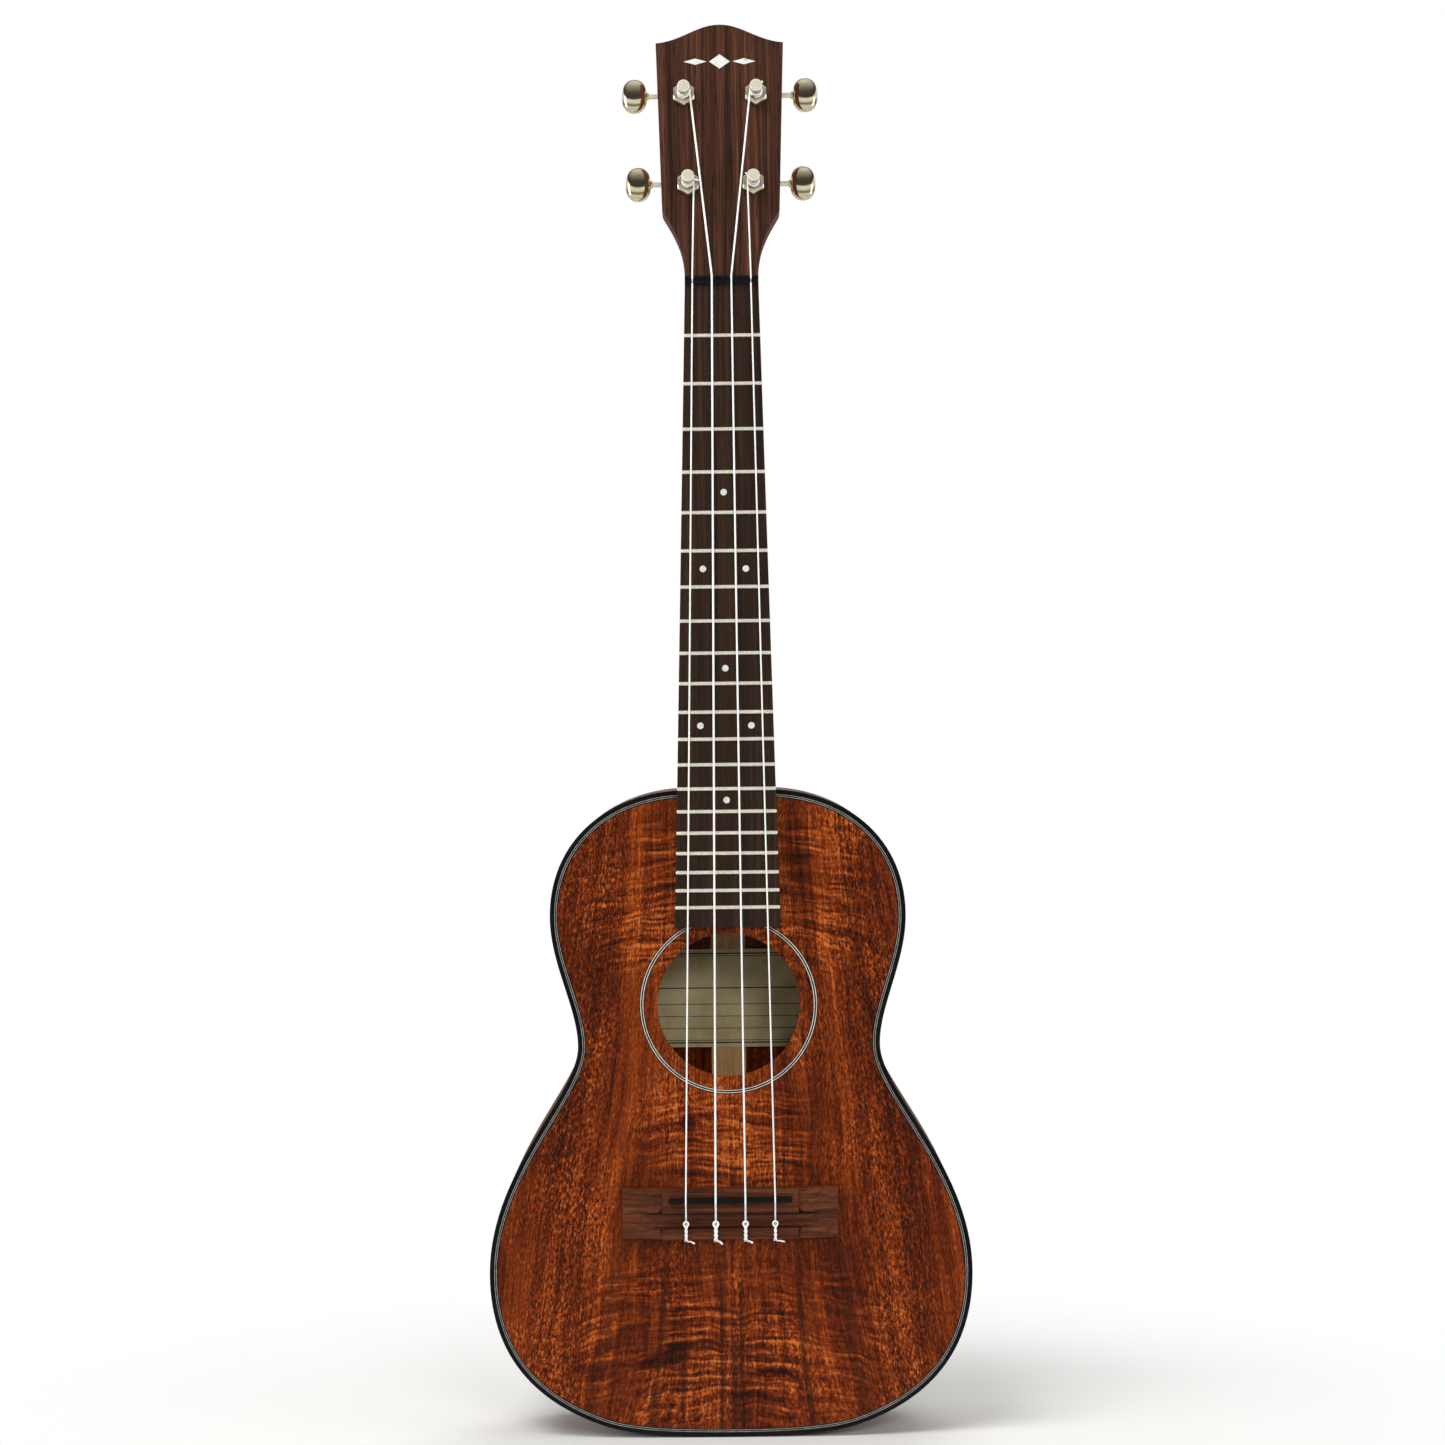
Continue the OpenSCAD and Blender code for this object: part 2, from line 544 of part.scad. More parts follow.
// The winding that turns with the post: one turn, then through the post's hole to a short tail.
tail_w = 6.7;
TAIL_ANGLE = [180, 100, 45, 135];
TAIL_LEN = [5, 3.8, 4.8, 4.6];
coil_steps = 24;
function coil_turn(i, a) = [for (k = [0 : coil_steps]) round_post(i, a + 180 - 360 * k / coil_steps,
    wrap_w(i, 1) + (tail_w - wrap_w(i, 1)) * k / coil_steps)];
function coil_path(i, a, turn) = concat(
    [for (k = [0 : coil_steps - 1]) turn[k]],
    corner(turn[coil_steps - 1], turn[coil_steps], [0, 0, tail_w], 1.2),
    [[0, 0, tail_w], [TAIL_LEN[i] * cos(a), TAIL_LEN[i] * sin(a), tail_w]]);
module string_coil(i) at_top() color([0.92, 0.92, 0.90]) on_head() at_post(i)
    tube(coil_path(i, TAIL_ANGLE[i], coil_turn(i, TAIL_ANGLE[i])), string_r(i));

// ---- bridge ----
bridge_half = 51.3;
bar_half = 32.4;                              // half length of the raised bars
bridge_z0 = saddle_z - 18.9;
bridge_z1 = bridge_z0 + 24.2;
tie_z0 = bridge_z0;
tie_z1 = bridge_z0 + 5.3;
saddle_bar_z = bridge_z0 + 12.2;
plate_h = 3;
tie_h = 7.6;
saddle_bar_h = 7;
tie_hole_h = 4.4;
saddle_half = 29.4;
saddle_t = 2.4;
saddle_slant = 0.6;
// A bar that steps down to a wing, which thins towards its end.
function bar_side(h) = [[bar_half - 0.8, h], [bar_half, h - 0.6], [bar_half + 1.2, 5.2],
    [bridge_half, 3.6], [bridge_half, 0]];
module bar(h, z0, z1) translate([0, 0, z0]) rotate([0, 0, 180]) linear_extrude(z1 - z0)
    polygon(concat(bar_side(h), mirrored(bar_side(h))));
// The wings close the trough between the bars near each end.
trough_half = 39;
module wings() difference() {
    bar(tie_h, bridge_z0, bridge_z1);
    translate([-trough_half, -tie_h - 1, bridge_z0 - 1])
        cube([2 * trough_half, tie_h + 2, bridge_z1 - bridge_z0 + 2]);
}
module saddle_shape(h0, h1) translate([0, -h0, saddle_z]) rotate([0, -saddle_slant, 0]) rotate([90, 0, 0])
    linear_extrude(h1 - h0) {
        square([2 * (saddle_half - saddle_t / 2), saddle_t], center = true);
        for (x = [-1, 1]) translate([x * (saddle_half - saddle_t / 2), 0]) circle(d = saddle_t, $fn = 32);
    }
module bridge() at_top() color([0.26, 0.13, 0.08]) difference() {
    union() {
        bar(saddle_bar_h, saddle_bar_z, bridge_z1);
        bar(tie_h, tie_z0, tie_z1);
        wings();
        translate([-bridge_half, -plate_h, bridge_z0])
            cube([2 * bridge_half, plate_h, bridge_z1 - bridge_z0]);
    }
    saddle_shape(4, 12);
    for (i = [0 : string_n - 1]) translate([bridge_x(i), -tie_hole_h, tie_z0 - 1])
        cylinder(r = 0.8, h = tie_z1 - tie_z0 + 2, $fn = 24);
}
module saddle() at_top() color([0.04, 0.04, 0.04]) saddle_shape(4, saddle_top);

// ---- tuning machines ----
worm_gap = 7.2;                               // from the post's axis to the worm's axis
worm_w = -17.5;                               // the worm's axis behind the head's face
wheel_r = 5;                                  // pitch radius
pitch = 2 * PI * wheel_r / wheel_teeth;
shaft_r = 1.3;
button_x = 24.2;                              // button's centre from the post's axis
bore_gap = 0.05;                              // running clearance round posts and shafts
post_r = 3;

// The housing is a box behind the head, with a lug for its screw and a nose round the shaft.
shell_w = 13.8;
shell_y0 = -6.9;
shell_y1 = 11.2;
shell_h = 9;
shell_z0 = -head_t - shell_h;
cover_t = 1;
lug_y = -9.8;
lug_r = 3.2;
lug_t = 2.4;
screw_r = 1.2;
wheel_room = 6;
worm_room = 3.2;
worm_half = 4.5;                              // half length of the worm's thread
shell_r = 1.3;                                // radius of the housing's corners
module shell_box(z0, h) translate([0, 0, z0]) linear_extrude(h) offset(r = shell_r, $fn = 32)
    translate([shell_r - shell_w / 2, shell_y0 + shell_r])
        square([shell_w - 2 * shell_r, shell_y1 - shell_y0 - 2 * shell_r]);
module along_worm(x) translate([x, worm_gap, worm_w]) rotate([0, 90, 0]) children();
module screw_holes() for (i = [0 : string_n - 1]) at_post(i)
    translate([0, lug_y, -head_t - 1]) cylinder(r = screw_r, h = 8, $fn = 24);
module tuner_housings() at_top() color([0.75, 0.72, 0.62]) on_head() for (i = [0 : string_n - 1]) at_post(i)
    difference() {
        union() {
            shell_box(shell_z0, shell_h);
            translate([0, lug_y, -head_t - lug_t]) cylinder(r = lug_r, h = lug_t, $fn = 40);
            translate([-lug_r, lug_y, -head_t - lug_t]) cube([2 * lug_r, 4, lug_t]);
            along_worm(6) cylinder(r = 3, h = 3.4, $fn = 40);
        }
        translate([0, 0, shell_z0 - 1]) cylinder(r = wheel_room, h = 7.9, $fn = 60);
        translate([0, 0, shell_z0 - 1]) cylinder(r = post_r + bore_gap, h = 12, $fn = 48);
        along_worm(-5) cylinder(r = worm_room, h = 10, $fn = 40);
        translate([-5, worm_gap - 1, shell_z0 - 1]) cube([10, 1 + worm_room, 4]);
        along_worm(-6.3) cylinder(r = shaft_r + bore_gap, h = 17, $fn = 40);
        translate([0, lug_y, -head_t - 4]) cylinder(r = screw_r + bore_gap, h = 6, $fn = 24);
    }
module tuner_covers() at_top() color([0.78, 0.75, 0.65]) on_head() for (i = [0 : string_n - 1]) at_post(i)
    shell_box(shell_z0 - cover_t, cover_t);
module tuner_screws() at_top() color([0.75, 0.72, 0.62]) on_head() for (i = [0 : string_n - 1]) at_post(i)
    translate([0, lug_y, -head_t - lug_t]) difference() {
        union() {
            translate([0, 0, -1.3]) cylinder(r = 2.3, h = 1.3, $fn = 40);
            cylinder(r = screw_r, h = 9, $fn = 24);
        }
        for (a = [0, 90]) rotate([0, 0, a]) translate([-1.5, -0.3, -2]) cube([3, 0.6, 1.4]);
    }
hex_w = 10;                                   // bushing nut across its flats
hex_h = 2.6;
washer_r = 4.8;
washer_t = 0.6;
module tuner_bushings() at_top() color([0.85, 0.83, 0.74]) on_head() for (i = [0 : string_n - 1]) at_post(i)
    difference() {
        union() {
            translate([0, 0, washer_t]) rotate([0, 0, 30]) cylinder(r = hex_w / sqrt(3), h = hex_h, $fn = 6);
            translate([0, 0, -head_t + 0.2]) cylinder(r = bush_r, h = head_t + washer_t, $fn = 48);
        }
        translate([0, 0, -head_t - 1]) cylinder(r = post_r + bore_gap, h = head_t + 8, $fn = 48);
    }
module tuner_washers() at_top() color([0.85, 0.83, 0.74]) on_head() for (i = [0 : string_n - 1]) at_post(i)
    difference() {
        cylinder(r = washer_r, h = washer_t, $fn = 48);
        translate([0, 0, -1]) cylinder(r = bush_r, h = 3, $fn = 48);
    }

// A post: journal in the bushing, waist for the string, cap on top and a spigot for the wheel.
wheel_t = 2.6;
wheel_bore = 2;
journal_top = 3.3;
cap_h = 2.1;
module string_post(i) at_top() color([0.86, 0.84, 0.76]) on_head() at_post(i) difference() {
    union() {
        translate([0, 0, worm_w - wheel_t / 2 - 1.2]) cylinder(r = wheel_bore, h = 8, $fn = 40);
        translate([0, 0, worm_w + wheel_t / 2])
            cylinder(r = post_r, h = journal_top - worm_w - wheel_t / 2, $fn = 48);
        translate([0, 0, 3]) cylinder(r = post_waist, h = post_h - 3, $fn = 48);
        translate([0, 0, post_h - cap_h - 0.5]) cylinder(r1 = post_waist, r2 = post_cap, h = 0.5, $fn = 48);
        translate([0, 0, post_h - cap_h]) cylinder(r = post_cap, h = cap_h - 0.4, $fn = 48);
        translate([0, 0, post_h - 0.4]) cylinder(r1 = post_cap, r2 = post_cap - 0.4, h = 0.4, $fn = 48);
    }
    rotate([0, 0, TAIL_ANGLE[i]]) translate([-5, 0, tail_w]) rotate([0, 90, 0])
        cylinder(r = 0.7, h = 10, $fn = 24);
}

// The wheel has a gap at its top, where the worm's thread reaches in. A tooth is wide at its root.
wheel_root = 4.25;
wheel_tip = 5.55;
TOOTH = [[wheel_root, -6.6], [wheel_tip, -2.6], [wheel_tip, 2.6], [wheel_root, 6.6]];
function tooth(k) = let (a = 90 + (k + 0.5) * 360 / wheel_teeth)
    [for (p = TOOTH) p[0] * [cos(a + p[1]), sin(a + p[1])]];
module worm_wheel(i) at_top() color([0.72, 0.58, 0.30]) on_head() at_post(i)
    translate([0, 0, worm_w - wheel_t / 2]) difference() {
        linear_extrude(wheel_t) polygon([for (k = [0 : wheel_teeth - 1]) each tooth(k)]);
        translate([0, 0, -1]) cylinder(r = wheel_bore, h = wheel_t + 2, $fn = 40);
    }

// Section of the single-start worm: the thread's radius against the angle, with a flat crest and root.
worm_tip = 2.8;
worm_root = 1.55;
function thread_r(a) = let (f = abs(a) / 360) f < 0.1 ? worm_tip : f > 0.25 ? worm_root
    : worm_tip - (worm_tip - worm_root) * (f - 0.1) / 0.15;
worm_section = [for (k = [0 : 23]) let (a = k * 15 - 180) thread_r(a) * [cos(a), sin(a)]];
// Turns the thread so that a crest faces the wheel at the middle of the worm.
worm_phase = -90 - 360 * worm_half / pitch;
worm_twist = -720 * worm_half / pitch;
shaft_back = 6.2;                             // reach of the shaft's plain end
module worm_shaft(i) at_top() color([0.75, 0.72, 0.62]) on_head() at_post(i) along_worm(0) {
    rotate([0, 0, worm_phase]) translate([0, 0, -worm_half])
        linear_extrude(2 * worm_half, twist = worm_twist, slices = 40) polygon(worm_section);
    translate([0, 0, -shaft_back]) cylinder(r = shaft_r, h = shaft_back - worm_half, $fn = 32);
    translate([0, 0, worm_half]) cylinder(r = shaft_r, h = button_x - 1.5 - worm_half, $fn = 32);
}

// The button is a rounded oval, flatter than it is wide, with a short collar.
button_t = 7.4;
collar_r = 1.9;
collar_len = 0.8;
lon = 24;
lat = 10;
function bulge(v) = sign(v) * pow(abs(v), 0.85);
function button_point(u, v) = [button_w / 2 * bulge(cos(v)) * bulge(cos(u)),
    button_l / 2 * bulge(cos(v)) * bulge(sin(u)), button_t / 2 * bulge(sin(v))];
button_points = [for (k = [1 : lat - 1], j = [0 : lon - 1]) button_point(360 * j / lon, 180 * k / lat - 90)];
button_faces = concat([[for (j = [0 : lon - 1]) j]], skin(lat - 1, lon),
    [[for (j = [lon - 1 : -1 : 0]) (lat - 2) * lon + j]]);
module tuner_button(i) at_top() color([0.80, 0.74, 0.55]) on_head() at_post(i)
    translate([button_x, worm_gap, worm_w]) difference() {
        union() {
            polyhedron(points = button_points, faces = button_faces, convexity = 4);
            translate([-button_w / 2 - collar_len, 0, 0]) rotate([0, 90, 0])
                cylinder(r = collar_r, h = collar_len + 2, $fn = 32);
        }
        translate([-button_w / 2 - 3, 0, 0]) rotate([0, 90, 0])
            cylinder(r = shaft_r, h = button_w / 2 + 1.5, $fn = 32);
    }

soundboard();
back_plate();
bass_side();
treble_side();
top_lining();
back_lining();
neck_block();
tail_block();
tail_wedge();
face_braces();
fan_braces();
bridge_patch();
back_braces();
back_seam_strip();
label();
rosette();
top_binding();
top_purfling();
back_binding();
neck();
neck_stiffener();
neck_bolts();
heel_cap();
head_veneer();
head_inlay();
fretboard();
frets();
inlay_dots();
nut();
bridge();
saddle();
string(0);  // string_g
string(1);  // string_c
string(2);  // string_e
string(3);  // string_a
tuner_housings();
tuner_covers();
tuner_bushings();
tuner_washers();
tuner_screws();
string_post(0);  // string_post_g
string_post(1);  // string_post_c
string_post(2);  // string_post_e
string_post(3);  // string_post_a
string_coil(0);  // string_coil_g
string_coil(1);  // string_coil_c
string_coil(2);  // string_coil_e
string_coil(3);  // string_coil_a
worm_wheel(0);  // worm_wheel_g
worm_wheel(1);  // worm_wheel_c
worm_wheel(2);  // worm_wheel_e
worm_wheel(3);  // worm_wheel_a
worm_shaft(0);  // worm_shaft_g
worm_shaft(1);  // worm_shaft_c
worm_shaft(2);  // worm_shaft_e
worm_shaft(3);  // worm_shaft_a
tuner_button(0);  // tuner_button_g
tuner_button(1);  // tuner_button_c
tuner_button(2);  // tuner_button_e
tuner_button(3);  // tuner_button_a
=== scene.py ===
import json
from math import acos, atan2, copysign, cos, hypot, pi, radians, sin

import bmesh
import bpy
import numpy as np
from mathutils import Matrix, Vector, bvhtree, kdtree


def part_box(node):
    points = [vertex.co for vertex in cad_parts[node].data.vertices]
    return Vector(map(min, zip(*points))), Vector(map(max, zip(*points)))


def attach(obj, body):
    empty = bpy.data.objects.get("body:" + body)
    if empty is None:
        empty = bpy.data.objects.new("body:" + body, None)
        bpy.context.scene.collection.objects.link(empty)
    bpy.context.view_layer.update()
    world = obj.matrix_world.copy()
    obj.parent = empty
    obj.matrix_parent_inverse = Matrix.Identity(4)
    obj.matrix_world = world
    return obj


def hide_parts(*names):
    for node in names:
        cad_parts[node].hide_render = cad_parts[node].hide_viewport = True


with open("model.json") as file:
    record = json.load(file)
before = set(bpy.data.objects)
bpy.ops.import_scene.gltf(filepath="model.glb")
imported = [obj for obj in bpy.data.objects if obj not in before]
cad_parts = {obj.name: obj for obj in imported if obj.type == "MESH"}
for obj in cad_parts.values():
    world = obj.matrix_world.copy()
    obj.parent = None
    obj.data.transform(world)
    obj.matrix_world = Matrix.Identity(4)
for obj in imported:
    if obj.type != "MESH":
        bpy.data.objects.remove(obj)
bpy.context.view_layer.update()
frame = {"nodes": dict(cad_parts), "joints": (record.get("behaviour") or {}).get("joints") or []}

# ---- Measures, in millimetres. The soundboard's face is y = 0 and the inside is +y. ----
MM = 0.001


def cad_span(node, axis):
    """The low and high side of a CAD node's box along an axis, in millimetres."""
    low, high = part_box(node)
    return low[axis] / MM, high[axis] / MM


X, Y, Z = range(3)

# Body: y is measured from the soundboard's face
FACE_Y = cad_span("soundboard", Y)[0]
BODY_LEN = cad_span("top_binding", Z)[1]
BODY_HALF = cad_span("top_binding", X)[1]
DEPTH_TAIL = cad_span("back_binding", Y)[1] - FACE_Y
DEPTH_NECK = 64.0
SIDE_T = 2.2
HOLE_Z = 205.6

# Neck and fretboard; SCALE is the strings' sounding length
NUT_Z = cad_span("nut", Z)[0]
NUT_T = cad_span("nut", Z)[1] - NUT_Z
NUT_TOP = 6.35
NUT_W = 35.0
BOARD_END_W = 50.1
BOARD_LEN = 305.3
BOARD_T = 5.0
SCALE = 431.8
FRET_N = 20

# Bridge and strings; the spreads are between the outer strings
BRIDGE_Z = cad_span("bridge", Z)[0]
BRIDGE_LEN = cad_span("bridge", Z)[1] - BRIDGE_Z
BRIDGE_HALF = cad_span("bridge", X)[1]
SADDLE_Z = NUT_Z - SCALE - 2.4
SADDLE_TOP = 10.7
STRINGS = "gcea"
STRING_D = dict(g=0.8, c=1.0, e=0.9, a=0.76)
NUT_SPREAD = 27.8
BRIDGE_SPREAD = 42.3

# Head and tuners: the worm's place from the post, up the head and out of its face, and the button's place
HEAD_T = 13.0
VENEER_T = 2.0
HEAD_TILT = 13.0
WORM_GAP = 7.2
WORM_W = -17.5
BUTTON_X = 24.2
JOINTS = {j["name"]: j for j in frame["joints"]}
HEAD_OUT = Vector(JOINTS["post_g_turn"]["axis"])
HEAD_UP = Vector((0, HEAD_OUT.z, -HEAD_OUT.y))
HEAD_ORIGIN = Vector((0, FACE_Y - VENEER_T, NUT_Z + NUT_T))


def spot(x, y, z):
    """A point given in millimetres from the soundboard's face, in the row frame in metres."""
    return Vector((x, y + FACE_Y, z)) * MM


def head_spot(x, s, w):
    """A point x across, s up the head's face from the nut and w out of the face."""
    return (HEAD_ORIGIN + Vector((x, 0, 0)) + HEAD_UP * s + HEAD_OUT * w) * MM


def post_place(name):
    """The post's x and its distance up the face."""
    offset = Vector(JOINTS[f"post_{name}_turn"]["pos_m"]) / MM - HEAD_ORIGIN
    return offset.x, offset.dot(HEAD_UP)


# ---- Materials ----
def rgb(r, g, b):
    """A colour from 0 to 255 as it looks on a screen, made linear."""
    parts = [((c / 255 + 0.055) / 1.055) ** 2.4 if c > 10 else c / 255 / 12.92 for c in (r, g, b)]
    return (*parts, 1.0)


class Value:
    """A number made by a graph's nodes. Arithmetic on it adds a node."""

    def __init__(self, graph, socket):
        self.graph, self.socket = graph, socket

    def __add__(self, other):
        return self.graph.math("ADD", self, other)

    def __sub__(self, other):
        return self.graph.math("SUBTRACT", self, other)

    def __rsub__(self, other):
        return self.graph.math("SUBTRACT", other, self)

    def __mul__(self, other):
        return self.graph.math("MULTIPLY", self, other)

    def __truediv__(self, other):
        return self.graph.math("DIVIDE", self, other)

    def __abs__(self):
        return self.graph.math("ABSOLUTE", self)


class Graph:
    """The nodes of a material, or of the world, with its coordinates in millimetres."""

    def __init__(self, owner, place="Object"):
        self.owner = bpy.data.materials.new(owner) if isinstance(owner, str) else owner
        self.owner.use_nodes = True
        self.tree = self.owner.node_tree
        self.tree.nodes.clear()
        here = self.node("ShaderNodeTexCoord").outputs[place]
        metres = {0: here, "Scale": 1 / MM}
        self.mm = self.node("ShaderNodeVectorMath", metres, operation="SCALE").outputs["Vector"]
        parts = self.node("ShaderNodeSeparateXYZ", {0: self.mm})
        self.x, self.y, self.z = (Value(self, part) for part in parts.outputs)

    def node(self, kind, feeds=None, **settings):
        """Adds a node and feeds its inputs, by name or index, with sockets, Values or constants."""
        made = self.tree.nodes.new(kind)
        for key, value in settings.items():
            setattr(made, key, value)
        for key, value in (feeds or {}).items():
            value = value.socket if isinstance(value, Value) else value
            if isinstance(value, bpy.types.NodeSocket):
                self.tree.links.new(value, made.inputs[key])
            else:
                made.inputs[key].default_value = value
        return made

    def scaled(self, by):
        """The place in millimetres, times one number or times one for each axis."""
        by = by if isinstance(by, tuple) else (by, by, by)
        return self.node("ShaderNodeVectorMath", {0: self.mm, 1: by}, operation="MULTIPLY").outputs["Vector"]

    def math(self, operation, a, b=0.0):
        return Value(self, self.node("ShaderNodeMath", {0: a, 1: b}, operation=operation).outputs[0])

    def joined(self, x, y, z):
        return self.node("ShaderNodeCombineXYZ", {0: x, 1: y, 2: z}).outputs[0]

    def noise(self, where, detail, rough=0.55, distortion=0.0, scale=1.0):
        feeds = {"Vector": where, "Scale": scale, "Detail": detail, "Roughness": rough}
        made = self.node("ShaderNodeTexNoise", {**feeds, "Distortion": distortion})
        return Value(self, made.outputs["Fac"])

    def fit(self, value, low, high, to_low=0.0, to_high=1.0):
        """Goes smoothly from to_low to to_high as value goes from low to high."""
        feeds = {0: value, 1: low, 2: high, 3: to_low, 4: to_high}
        made = self.node("ShaderNodeMapRange", feeds, interpolation_type="SMOOTHSTEP")
        return Value(self, made.outputs[0])

    def ramp(self, value, stops):
        made = self.node("ShaderNodeValToRGB", {0: value})
        band = made.color_ramp
        while len(band.elements) < len(stops):
            band.elements.new(0.5)
        for element, (place, colour) in zip(band.elements, stops):
            element.position = place
            element.color = colour
        return made.outputs[0]

    def mix(self, factor, a, b):
        return self.node("ShaderNodeMix", {0: factor, 6: a, 7: b}, data_type="RGBA").outputs[2]

    def bump(self, height, distance, strength=1.0):
        feeds = {"Height": height, "Distance": distance, "Strength": strength}
        return self.node("ShaderNodeBump", feeds).outputs[0]

    def finish(self, colour, roughness=0.5, normal=None, **sockets):
        feeds = {"Base Color": colour, "Roughness": roughness}
        feeds.update({key.replace("_", " "): value for key, value in sockets.items()})
        if normal is not None:
            feeds["Normal"] = normal
        shader = self.node("ShaderNodeBsdfPrincipled", feeds)
        self.node("ShaderNodeOutputMaterial", {0: shader.outputs[0]})
        return self.owner


KOA_SHADES = [(0.16, (28, 7, 1)), (0.36, (70, 22, 3)), (0.50, (104, 39, 7)), (0.64, (137, 59, 15)),
              (0.86, (196, 104, 46))]


def figured_wood(name, seed, layout, figure_windows, streaks, speckle_at, tone=1.0):
    """Orange-brown tonewood: upright grain that spreads toward the tail, speckled pores and a curly figure.

    layout is "matched" for two halves mirrored about a seam, or "wrapped" for a strip bent round the body,
    whose grain follows the outline and whose width is the body's depth. figure_windows are (x, z, reach x,
    reach z, amount), streaks are (x, half width, z where it is full, z where it ends, amount) and speckle_at
    is the x of the coarsest pores.
    """
    g = Graph(name)
    matched = layout == "matched"
    bent_z = g.z + abs(g.x) * 0.6
    flat_x, flat_z = (g.x, g.z) if matched else (g.y, bent_z)
    side = g.math("SIGN", flat_x) if matched else 1.0
    across = abs(flat_x) if matched else flat_x
    depth = side * 0.45 + seed
    spread = g.fit(across, 8, 70) * ((flat_z - 150) * 0.15)
    drift = g.noise(g.joined(across * 0.016, depth, flat_z * 0.009), 2.0)
    grain = across + spread + drift * 16
    lane = (across + spread) * side

    def along(per_x, per_z, shift=0.0):
        return g.joined(grain * per_x, depth + shift, flat_z * per_z)

    broad = g.noise(along(0.055, 0.0032), 3.0, 0.6)
    streak = g.noise(along(0.30, 0.0085, 3.0), 4.0, 0.65)
    fibre = g.noise(along(1.25, 0.045, 5.0), 3.0, 0.7)
    cloud = g.noise(g.joined(across * 0.028, depth, flat_z * 0.02), 3.0, 0.6)
    value = (broad - 0.5) * 0.62 + (streak - 0.5) * 0.56 + (fibre - 0.5) * 0.55 + (cloud - 0.5) * 0.36

    # The curl: short waves across the grain, lit on one slope, inside the windows
    window = 0.0
    for centre_x, centre_z, reach_x, reach_z, amount in figure_windows:
        dx, dz = (across - centre_x) / reach_x, (flat_z - centre_z) / reach_z
        window = g.math("MAXIMUM", window, g.fit(dx * dx + dz * dz, 1.3, 0.2) * amount)
    bend = g.noise(g.joined(flat_x * 0.035, 2.0 + seed, flat_z * 0.03), 2.0)
    curl_z = flat_z + bend * 11 + across * across * 0.0016

    def curl(shift):
        place = g.joined(flat_x * 0.029, 4.0 + seed, (curl_z + shift) * 0.22)
        return g.noise(place, 2.5, 0.62, 0.15)

    here, above = curl(0.0), curl(1.1)
    patch = g.fit(g.noise(g.joined(flat_x * 0.04, seed, flat_z * 0.035), 2.0), 0.36, 0.56)
    window = window * (patch * 0.6 + 0.4)
    hollow = g.fit(here, 0.47, 0.34)
    slope = g.math("MAXIMUM", g.math("MINIMUM", (above - here) * 4.2, 0.6), -0.6)
    fold = slope * 0.42 - hollow * 0.32
    value = value + (fold + 0.05) * window

    # Pores: grit everywhere, coarsest near speckle_at, and dark dashes
    near = g.fit(abs(across + spread * 0.7 - speckle_at), 22, 4)
    grit = near * 0.42 + g.fit(cloud, 0.40, 0.62) * 0.42 + 0.36
    grain_dots = g.noise(along(1.1, 0.42, 8.0), 2.5, 0.8)
    value = value + (grain_dots - 0.5) * 1.7 * grit
    colour = g.ramp(value + 0.5, [(at, rgb(*(c * tone for c in tint))) for at, tint in KOA_SHADES])
    dark_dash = g.fit(g.noise(along(1.5, 0.34, 14.0), 1.5, 0.5), 0.57, 0.66)
    colour = g.mix(dark_dash * (grit * 0.9), colour, rgb(34, 10, 3))
    for centre, width, low, high, amount in streaks:
        from_line = abs(lane + streak * 3 - (centre + 1.5))
        shade = g.fit(from_line, width, width * 0.25) * g.fit(flat_z, high, low)
        shade = shade * g.fit(fibre, 0.32, 0.6, 0.25, 1.0)
        colour = g.mix(shade * amount, colour, rgb(36, 14, 7))
    if matched:
        seam = g.fit(across, 0.3, 0.08)
        colour = g.mix(seam * 0.6, colour, rgb(32, 12, 6))
    relief = fold * window * 0.6 - dark_dash * grit * 0.5
    rough = g.fit(value, -0.2, 0.25, 0.44, 0.33)
    return g.finish(colour, rough, g.bump(relief, 0.0002, 0.5), Specular_IOR_Level=0.12)


